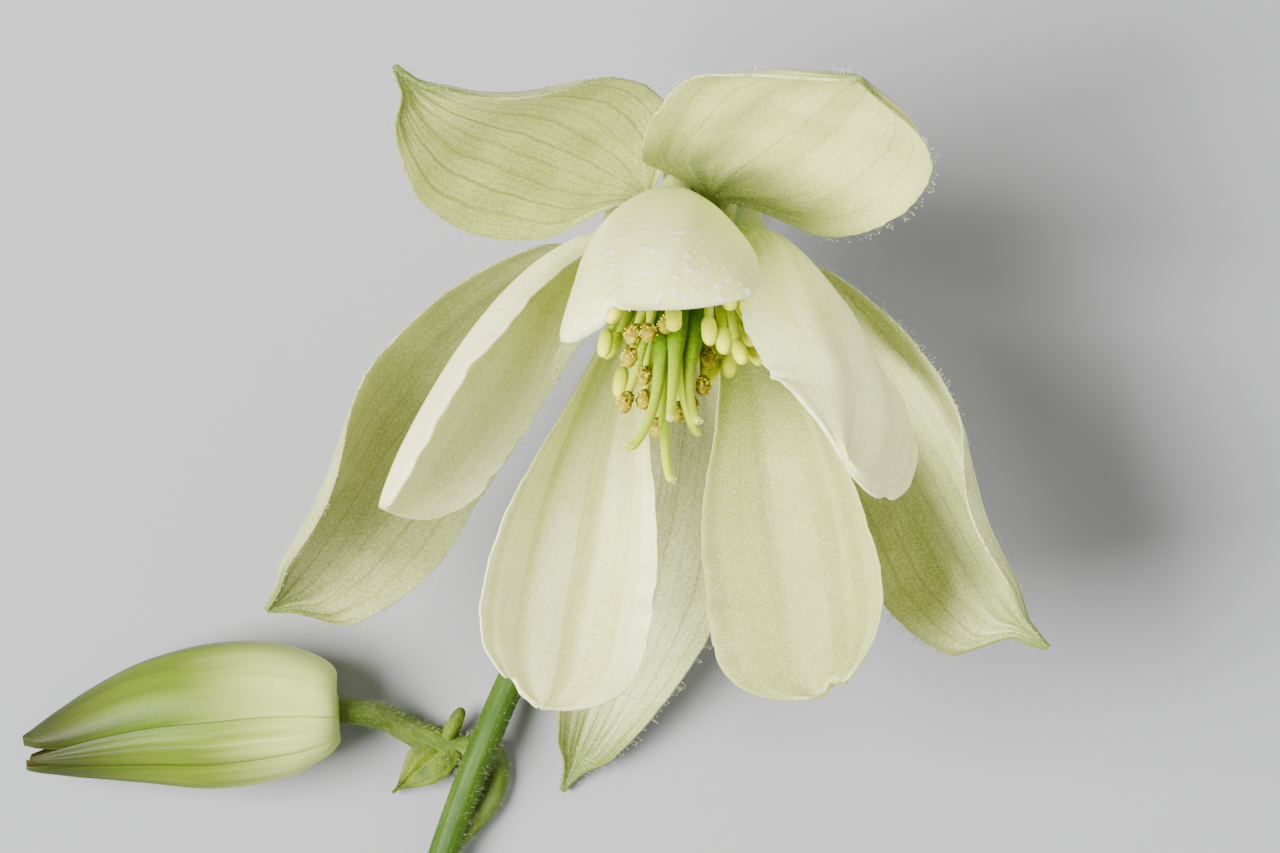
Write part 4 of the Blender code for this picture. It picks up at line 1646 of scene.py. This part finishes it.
@dataclass(frozen=True)
class LowerBract(Piece):
    """The broad bract at the side branch's node: keeled, with a drawn-out tip."""

    piece_name: str = "broad_bract"
    stands_for: str = "bract_lower"
    record_slot: str = "bract"
    base: Point = (-10.0, -16.6, 1.0)
    tip: Point = (-13.0, -19.25, 0.35)
    half_width: float = 1.2
    rise: float = 0.5
    base_width: float = 0.3
    least_width: float = 0.07
    drawn_out: float = 1.4
    unevenness: float = 0.05
    keel_depth: float = 0.12
    keel_width: float = 0.16
    curl: float = 0.6
    thickness: float = 0.4
    edge_thinning: float = 0.7
    columns: int = 25
    rows: int = 40
    hairs: int = 120
    hair_length: Span = (0.1, 0.3)
    hair_radius: float = 0.013
    hair_spread: float = 0.5
    seed: int = 71

    def gather(self, tissue: Tissue) -> None:
        """Adds the bract's sheet and a few hairs.

        Args:
            tissue: what they are added to.
        """
        base, tip = np.array(self.base), np.array(self.tip)
        across = unit(np.cross(tip - base, UP))
        u, t = np.meshgrid(np.linspace(-1.0, 1.0, self.columns), np.linspace(0.0, 1.0, self.rows))
        arch = np.sin(math.pi * t)
        share = np.sin(math.pi * (self.base_width + (1.0 - self.base_width) * t)) ** self.drawn_out
        uneven = 1.0 + self.unevenness * ripple(t, 4, 0.7, 0.2)
        wide = self.half_width * np.maximum(self.least_width, share) * uneven
        keel = self.keel_depth * np.exp(-((u / self.keel_width) ** 2)) * arch
        lift = self.rise * (arch + self.curl * u * u) - keel
        low = base + (tip - base) * t[..., None] + (u * wide)[..., None] * across + lift[..., None] * UP
        top = low + self.thickness * UP * (1.0 - self.edge_thinning * np.abs(u) ** 3)[..., None]
        tissue.add_sheet(top, low, t, u)
        own = np.random.default_rng(self.seed)
        spots = top.reshape(-1, 3)[own.integers(0, top.size // 3, self.hairs)]
        ways = own.normal(0.0, self.hair_spread, (self.hairs, 3)) + UP
        tissue.add_hairs(spots, ways, own.uniform(*self.hair_length, self.hairs), self.hair_radius)

    def dress(self) -> list[Material]:
        """The bract's tissue and hairs."""
        return [self.coat(LeafyFinish()), self.coat(HairFinish(), "hairs")]


@dataclass(frozen=True)
class UpperBract(Piece):
    """The upper bract, which is only a nub."""

    piece_name: str = "nub_bract"
    stands_for: str = "bract_upper"
    record_slot: str = "bract"
    base: Point = (-10.3, -16.75, 0.9)
    tip: Point = (-9.3, -14.75, 1.75)
    radius: float = 0.46
    groove: float = 0.15
    crumple: float = 0.2
    hairs: int = 60
    hair_root: float = 0.95
    hair_length: Span = (0.1, 0.25)
    hair_radius: float = 0.013
    seed: int = 81

    def gather(self, tissue: Tissue) -> None:
        """Adds the nub and its hairs.

        Args:
            tissue: what they are added to.
        """
        base, tip = np.array(self.base), np.array(self.tip)
        middle, length = (base + tip) / 2.0, float(np.linalg.norm(tip - base))
        tissue.add_body(middle, tip - base, length, self.radius, self.groove, self.crumple, seed=5)
        own = np.random.default_rng(self.seed)
        ways = unit(own.normal(size=(self.hairs, 3)))
        roots = middle + ways * self.radius * self.hair_root
        tissue.add_hairs(roots, ways, own.uniform(*self.hair_length, self.hairs), self.hair_radius)

    def dress(self) -> list[Material]:
        """The nub's tissue and hairs."""
        return [self.coat(LeafyFinish()), self.coat(HairFinish(), "hairs")]


@dataclass(frozen=True)
class BudSepal(Piece):
    """One of the five sepals folded round the closed bud. Its later edge slips under the next sepal.

    reach is how much of the bud's route it covers. tuck is how deep its later edge lies, overlap how far
    it runs on under the next sepal, and lip how much its first edge stands out.
    """

    piece_name: str
    stands_for: str
    turn_start: float
    turn_end: float
    reach: float
    record_slot: str = "bud"
    route: Route = (
        (-15.65, -14.95, 3.5, 0.84),
        (-16.0, -14.95, 3.52, 2.1),
        (-17.4, -14.8, 3.6, 3.0),
        (-19.6, -14.8, 3.68, 3.55),
        (-22.3, -15.05, 3.7, 3.62),
        (-25.0, -15.35, 3.65, 3.2),
        (-27.4, -15.85, 3.6, 2.55),
        (-29.5, -16.4, 3.55, 1.85),
        (-31.1, -16.8, 3.5, 1.25),
        (-32.0, -16.9, 3.5, 0.95),
    )
    bulge: float = 0.05
    tip_start: float = 0.7
    tip_closing: float = 0.85
    tip_power: float = 2.5
    tuck: float = 0.32
    tuck_start: float = 0.55
    tuck_run: float = 0.45
    lip: float = 0.05
    lip_run: float = 0.5
    overlap: float = 0.35
    least_radius: float = 0.9
    line_depth: float = 0.012
    line_count: float = 16.0
    thickness: float = 0.3
    thickness_share: float = 0.2
    near: float = 0.02
    columns: int = 41
    rows: int = 100

    def gather(self, tissue: Tissue) -> None:
        """Adds the sepal's sheet.

        Args:
            tissue: what it is added to.
        """
        share = (self.turn_end - self.turn_start) % 360.0
        middle = self.turn_start + share / 2.0
        u, t = np.meshgrid(np.linspace(-1.0, 1.0, self.columns), np.linspace(0.0, 1.0, self.rows))
        route, reached = np.array(self.route), t * self.reach
        line = through(route, reached)
        ahead = through(route, np.minimum(1.0, reached + self.near))
        behind = through(route, np.maximum(0.0, reached - self.near))
        along = unit(ahead[..., :3] - behind[..., :3])
        level = unit(np.cross(UP, along))
        above = np.cross(along, level)
        past = np.clip((t - self.tip_start) / (1.0 - self.tip_start), 0.0, 1.0)
        radius = line[..., 3]
        beyond = self.overlap / np.maximum(radius, self.least_radius) * (1.0 - past)
        half = math.radians(share / 2.0) * (1.0 - self.tip_closing * past**self.tip_power)
        angle = math.radians(middle) + np.where(u < 0.0, u * half, u * (half + beyond))
        under = smooth_rise((u - self.tuck_start) / self.tuck_run) * self.tuck
        over = smooth_rise((-u - 1.0 + self.lip_run) / self.lip_run) * self.lip
        waves = np.cos(self.line_count * u + 0.5 * ripple(t, 12, 0.9, 0.3))
        lines = self.line_depth * waves * np.sin(math.pi * t)
        bulged = radius * (1.0 + self.bulge * (1.0 - u * u)) - under + over + lines
        spoke = np.cos(angle)[..., None] * above + np.sin(angle)[..., None] * level
        outer = line[..., :3] + bulged[..., None] * spoke
        inner = outer - spoke * np.minimum(self.thickness, self.thickness_share * radius)[..., None]
        tissue.add_sheet(outer, inner, t, u)

    def dress(self) -> list[Material]:
        """The sepal's tissue."""
        return [self.coat(BudFinish())]


SEPALS = (
    Sepal(
        place="upper_left", turn=-37.5, length=21.4, half_width=6.1, outline=(0.85, 1.0), seed=1,
        lean=(88, 77, 68, 61, 70, 98), sweep=(0, -2, 0, 0, 0, 0), roll=(0, -14, -16, -12, -6, 0),
        cup=(15, 24, 22, 20, 40, 60), horn_start=0.94, pinch=0.55,
        finish=VeinedFinish(tip_green=0.84, vein_strength=0.75),
    ),
    Sepal(
        place="upper_right", turn=24.5, length=20.4, half_width=6.8, outline=(0.58, 0.62), seed=2,
        lean=(88, 74, 72, 70, 64, 44), sweep=(0, 4, 4, 0, -6, -12), roll=(0, 2, 4, 6, 4, 0),
        cup=(15, 32, 26, 18, 24, 40),
        finish=VeinedFinish(
            light=(0.78, 0.81, 0.27), shade=(0.50, 0.53, 0.15), base_green=0.42, vein_strength=0.25
        ),
    ),
    Sepal(
        place="lower_left", turn=-110, length=27.8, half_width=6.4, outline=(0.85, 0.56), seed=3,
        lean=(88, 64, 48, 40, 36, 50), sweep=(0, -4, -8, -10, -11, -6), horn_start=0.97, pinch=0.6,
        finish=VeinedFinish(light=(0.56, 0.59, 0.25), shade=(0.32, 0.35, 0.11), tip_green=0.92),
    ),
    Sepal(
        place="lower_right", turn=111, length=27.6, half_width=6.4, outline=(0.95, 0.64), seed=4,
        lean=(88, 64, 46, 32, 32, 58), sweep=(0, 12, 12, 4, 0, 4), horn_start=0.94, pinch=0.75,
        finish=VeinedFinish(
            light=(0.74, 0.78, 0.34), shade=(0.44, 0.48, 0.15), tip_green=0.88, middle_green=0.6
        ),
    ),
    Sepal(
        place="bottom", turn=183, length=31.2, half_width=4.9, outline=(0.75, 0.85), seed=5,
        lean=(88, 70, 60, 54, 52, 52), sweep=(0, 0, 3, 8, 16, 22), horn_start=0.96,
        finish=VeinedFinish(
            light=(0.54, 0.57, 0.24), shade=(0.32, 0.35, 0.11), tip_green=0.84, vein_strength=0.5
        ),
    ),
)
PETALS = (
    Petal(
        place="top", turn=-8, length=17.8, half_width=6.2, outline=(0.28, 0.42, 0.8), seed=11,
        lean=(60, 36, 24, -2), sweep=(0, 0, 0, 0), roll=(0, -4, -11, -16), cup=(110, 85, 70, 55),
        notches=(Notch(-0.2, 0.98, 0.8, 0.5),),
        finish=PetalFinish(light=(0.84, 0.88, 0.31), banding=0.3, bead_height=0.6, throat=0.4),
    ),
    Petal(
        place="left", turn=-79, length=19.6, half_width=5.3, outline=(0.3, 0.6, 0.8), seed=12,
        lean=(60, 32, 24, 20), sweep=(0, -14, -24, -36), roll=(0, -10, -14, -10), cup=(110, 80, 60, 45),
        finish=PetalFinish(banding=0.3, throat=0.08),
    ),
    Petal(
        place="right", turn=66, length=17.6, half_width=5.1, outline=(0.28, 0.49, 0.68), seed=13,
        lean=(60, 25, 9, -15), sweep=(0, 8, 17, -25), roll=(0, -22, -25, -20), cup=(110, 87, 34, 17),
        notches=(Notch(0.6, 0.93, 0.3, 0.3), Notch(0.85, 0.8, 0.25, 0.3)),
        finish=PetalFinish(banding=0.3, throat=0.3),
    ),
    Petal(
        place="lower_left", turn=-150.5, length=23.6, half_width=4.9, outline=(0.34, 0.7, 0.8), seed=14,
        lean=(60, 26, 16, 8), sweep=(0, -1, -2, -2), cup=(110, 80, 45, 25),
        notches=(Notch(0.4, 0.99, 0.6, 0.35),), finish=PetalFinish(banding=0.6),
    ),
    Petal(
        place="lower_right", turn=141.5, length=23.3, half_width=5.8, outline=(0.34, 0.65, 0.8), seed=15,
        lean=(60, 27, 16, 8), sweep=(0, -1, -1, -1), cup=(110, 80, 58, 36),
        notches=(Notch(-0.06, 0.99, 0.8, 0.45),),
        # Painted shade: its light and shade colours are about half as bright as the other petals', as this
        # petal lies tilted away from the light
        finish=PetalFinish(light=(0.44, 0.47, 0.14), shade=(0.26, 0.29, 0.065), banding=0.45, mottling=0.55),
    ),
)
FRESH_ENDS = (
    (-97, 4.1, 5.3),
    (-88, 3.5, 7.0),
    (-72, 3.8, 6.0),
    (-58, 3.4, 6.6),
    (-40, 3.8, 6.9),
    (-20, 3.6, 6.4),
    (-2, 3.4, 8.3),
    (14, 3.8, 6.8),
    (31, 3.1, 8.1),
    (43, 3.5, 6.1),
    (47, 3.2, 8.4),
    (56, 3.75, 5.9),
    (72, 3.7, 6.9),
    (89, 3.0, 7.2),
    (100, 3.7, 6.4),
    (124, 3.1, 6.3),
    (139, 2.9, 6.4),
    (-112, 3.3, 6.0),
    (-131, 3.6, 7.3),
)
SPENT_ENDS = (
    (-126, 1.85, 8.1),
    (-133, 2.0, 9.4),
    (-119, 2.6, 9.7),
    (-64, 2.35, 8.8),
    (-52, 2.5, 7.7),
    (-38, 2.2, 7.8),
    (-12, 2.1, 7.4),
    (122, 1.8, 6.9),
    (131, 1.85, 8.4),
    (163, 1.85, 7.1),
    (156, 1.95, 9.2),
    (171, 2.0, 9.6),
    (-157, 2.05, 10.7),
)
STAMENS = (
    Stamens(
        state=Anther.FRESH, foot=2.25, ends=FRESH_ENDS, anther_length=1.7, anther_radius=0.55,
        body_share=(1.0, 0.86), groove=0.28, crumple=0.0, anther_sides=26,
    ),
    Stamens(
        state=Anther.SPENT, foot=1.5, ends=SPENT_ENDS, anther_length=1.4, anther_radius=0.45,
        body_share=(0.85, 0.95), groove=0.25, crumple=0.42, anther_sides=22,
    ),
)
BUD_SEAMS = (3.0, 43.0, 115.0, 187.0, 259.0)
BUD_REACH = (0.96, 1.0, 0.97, 0.94, 1.0)


@dataclass(frozen=True)
class SoftLight:
    """A square light that looks at the flower: its place and its side in metres, and its power in watts."""

    name: str
    place: Point
    side: float
    power: float

    def make(self) -> None:
        """Hangs the light."""
        light = bpy.data.lights.new(self.name, "AREA")
        light.size = self.side
        light.energy = self.power
        lamp = add_object(self.name, light)
        lamp.location = self.place
        x, y, z = -np.array(self.place)
        lamp.rotation_euler = (math.atan2(math.hypot(x, y), -z), 0.0, math.atan2(y, x) - math.pi / 2.0)


@dataclass(frozen=True)
class Studio:
    """The plain pale floor, the soft lights and the camera above the face-up flower."""

    floor_side: float = 2.0
    floor_colour: Colour = (0.27, 0.275, 0.275)
    floor_contrast: float = 1.03
    floor_relief: float = 0.01
    lights: tuple[SoftLight, ...] = (
        SoftLight("key_light", (-0.32, -0.02, 0.42), 0.28, 12.0),
        SoftLight("fill_light", (0.42, 0.12, 0.30), 0.45, 2.2),
    )
    world_colour: Colour = (1.0, 1.0, 1.0)
    world_strength: float = 0.33
    camera_height: float = 295.0
    lens: float = 157.5
    sensor_width: float = 36.0
    nearest: float = 0.01
    farthest: float = 20.0

    def make(self) -> None:
        """Sets up the floor, the lights, the surroundings and the camera."""
        self.make_floor()
        for light in self.lights:
            light.make()
        world = bpy.data.worlds.new("surroundings")
        world.use_nodes = True
        background = world.node_tree.nodes["Background"].inputs
        background["Color"].default_value = (*self.world_colour, 1.0)
        background["Strength"].default_value = self.world_strength
        bpy.context.scene.world = world
        self.make_camera()
        LOG.info("studio: floor, %d lights and the camera", len(self.lights))

    def make_floor(self) -> None:
        """A wide flat sheet under the spray."""
        half = self.floor_side / 2.0
        mesh = bpy.data.meshes.new("floor")
        square = [(-half, -half, 0), (half, -half, 0), (half, half, 0), (-half, half, 0)]
        mesh.from_pydata(square, [], [(0, 1, 2, 3)])
        surface = Surface("floor_paper")
        grain = surface.noise(0.4, 2.0)
        lighter = tuple(c * self.floor_contrast for c in self.floor_colour)
        tone = surface.mix(grain, self.floor_colour, lighter)
        surface.finish(tone, 0.75 + grain * 0.1, grain, self.floor_relief)
        mesh.materials.append(surface.material)
        floor = add_object("floor", mesh)

    def make_camera(self) -> None:
        """Hangs the camera straight above the middle of the picture."""
        camera = bpy.data.cameras.new("camera")
        camera.lens = self.lens
        camera.sensor_width = self.sensor_width
        camera.clip_start = self.nearest
        camera.clip_end = self.farthest
        stand = add_object("camera", camera)
        stand.location = (-SPRAY_MIDDLE[0] * MM, -SPRAY_MIDDLE[1] * MM, self.camera_height * MM)
        bpy.context.scene.camera = stand


def corners(box: tuple) -> list[list[float]]:
    """A box's two corners as plain numbers."""
    return [list(map(float, corner)) for corner in box]


def main() -> None:
    """Builds every piece of the spray and the studio round it."""
    logging.basicConfig(level=logging.INFO, format="%(message)s")
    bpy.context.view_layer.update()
    Stem().make()
    for piece in (*SEPALS, *PETALS, *STAMENS):
        piece.make()
    Carpels().make()
    LowerBract().make()
    UpperBract().make()
    next_seams = BUD_SEAMS[1:] + BUD_SEAMS[:1]
    for number, (start, end, reach) in enumerate(zip(BUD_SEAMS, next_seams, BUD_REACH), 1):
        BudSepal(f"bud_sepal_skin_{number}", f"bud_sepal_{number}", start, end, reach).make()
    Studio().make()


if __name__ == "__main__":
    main()
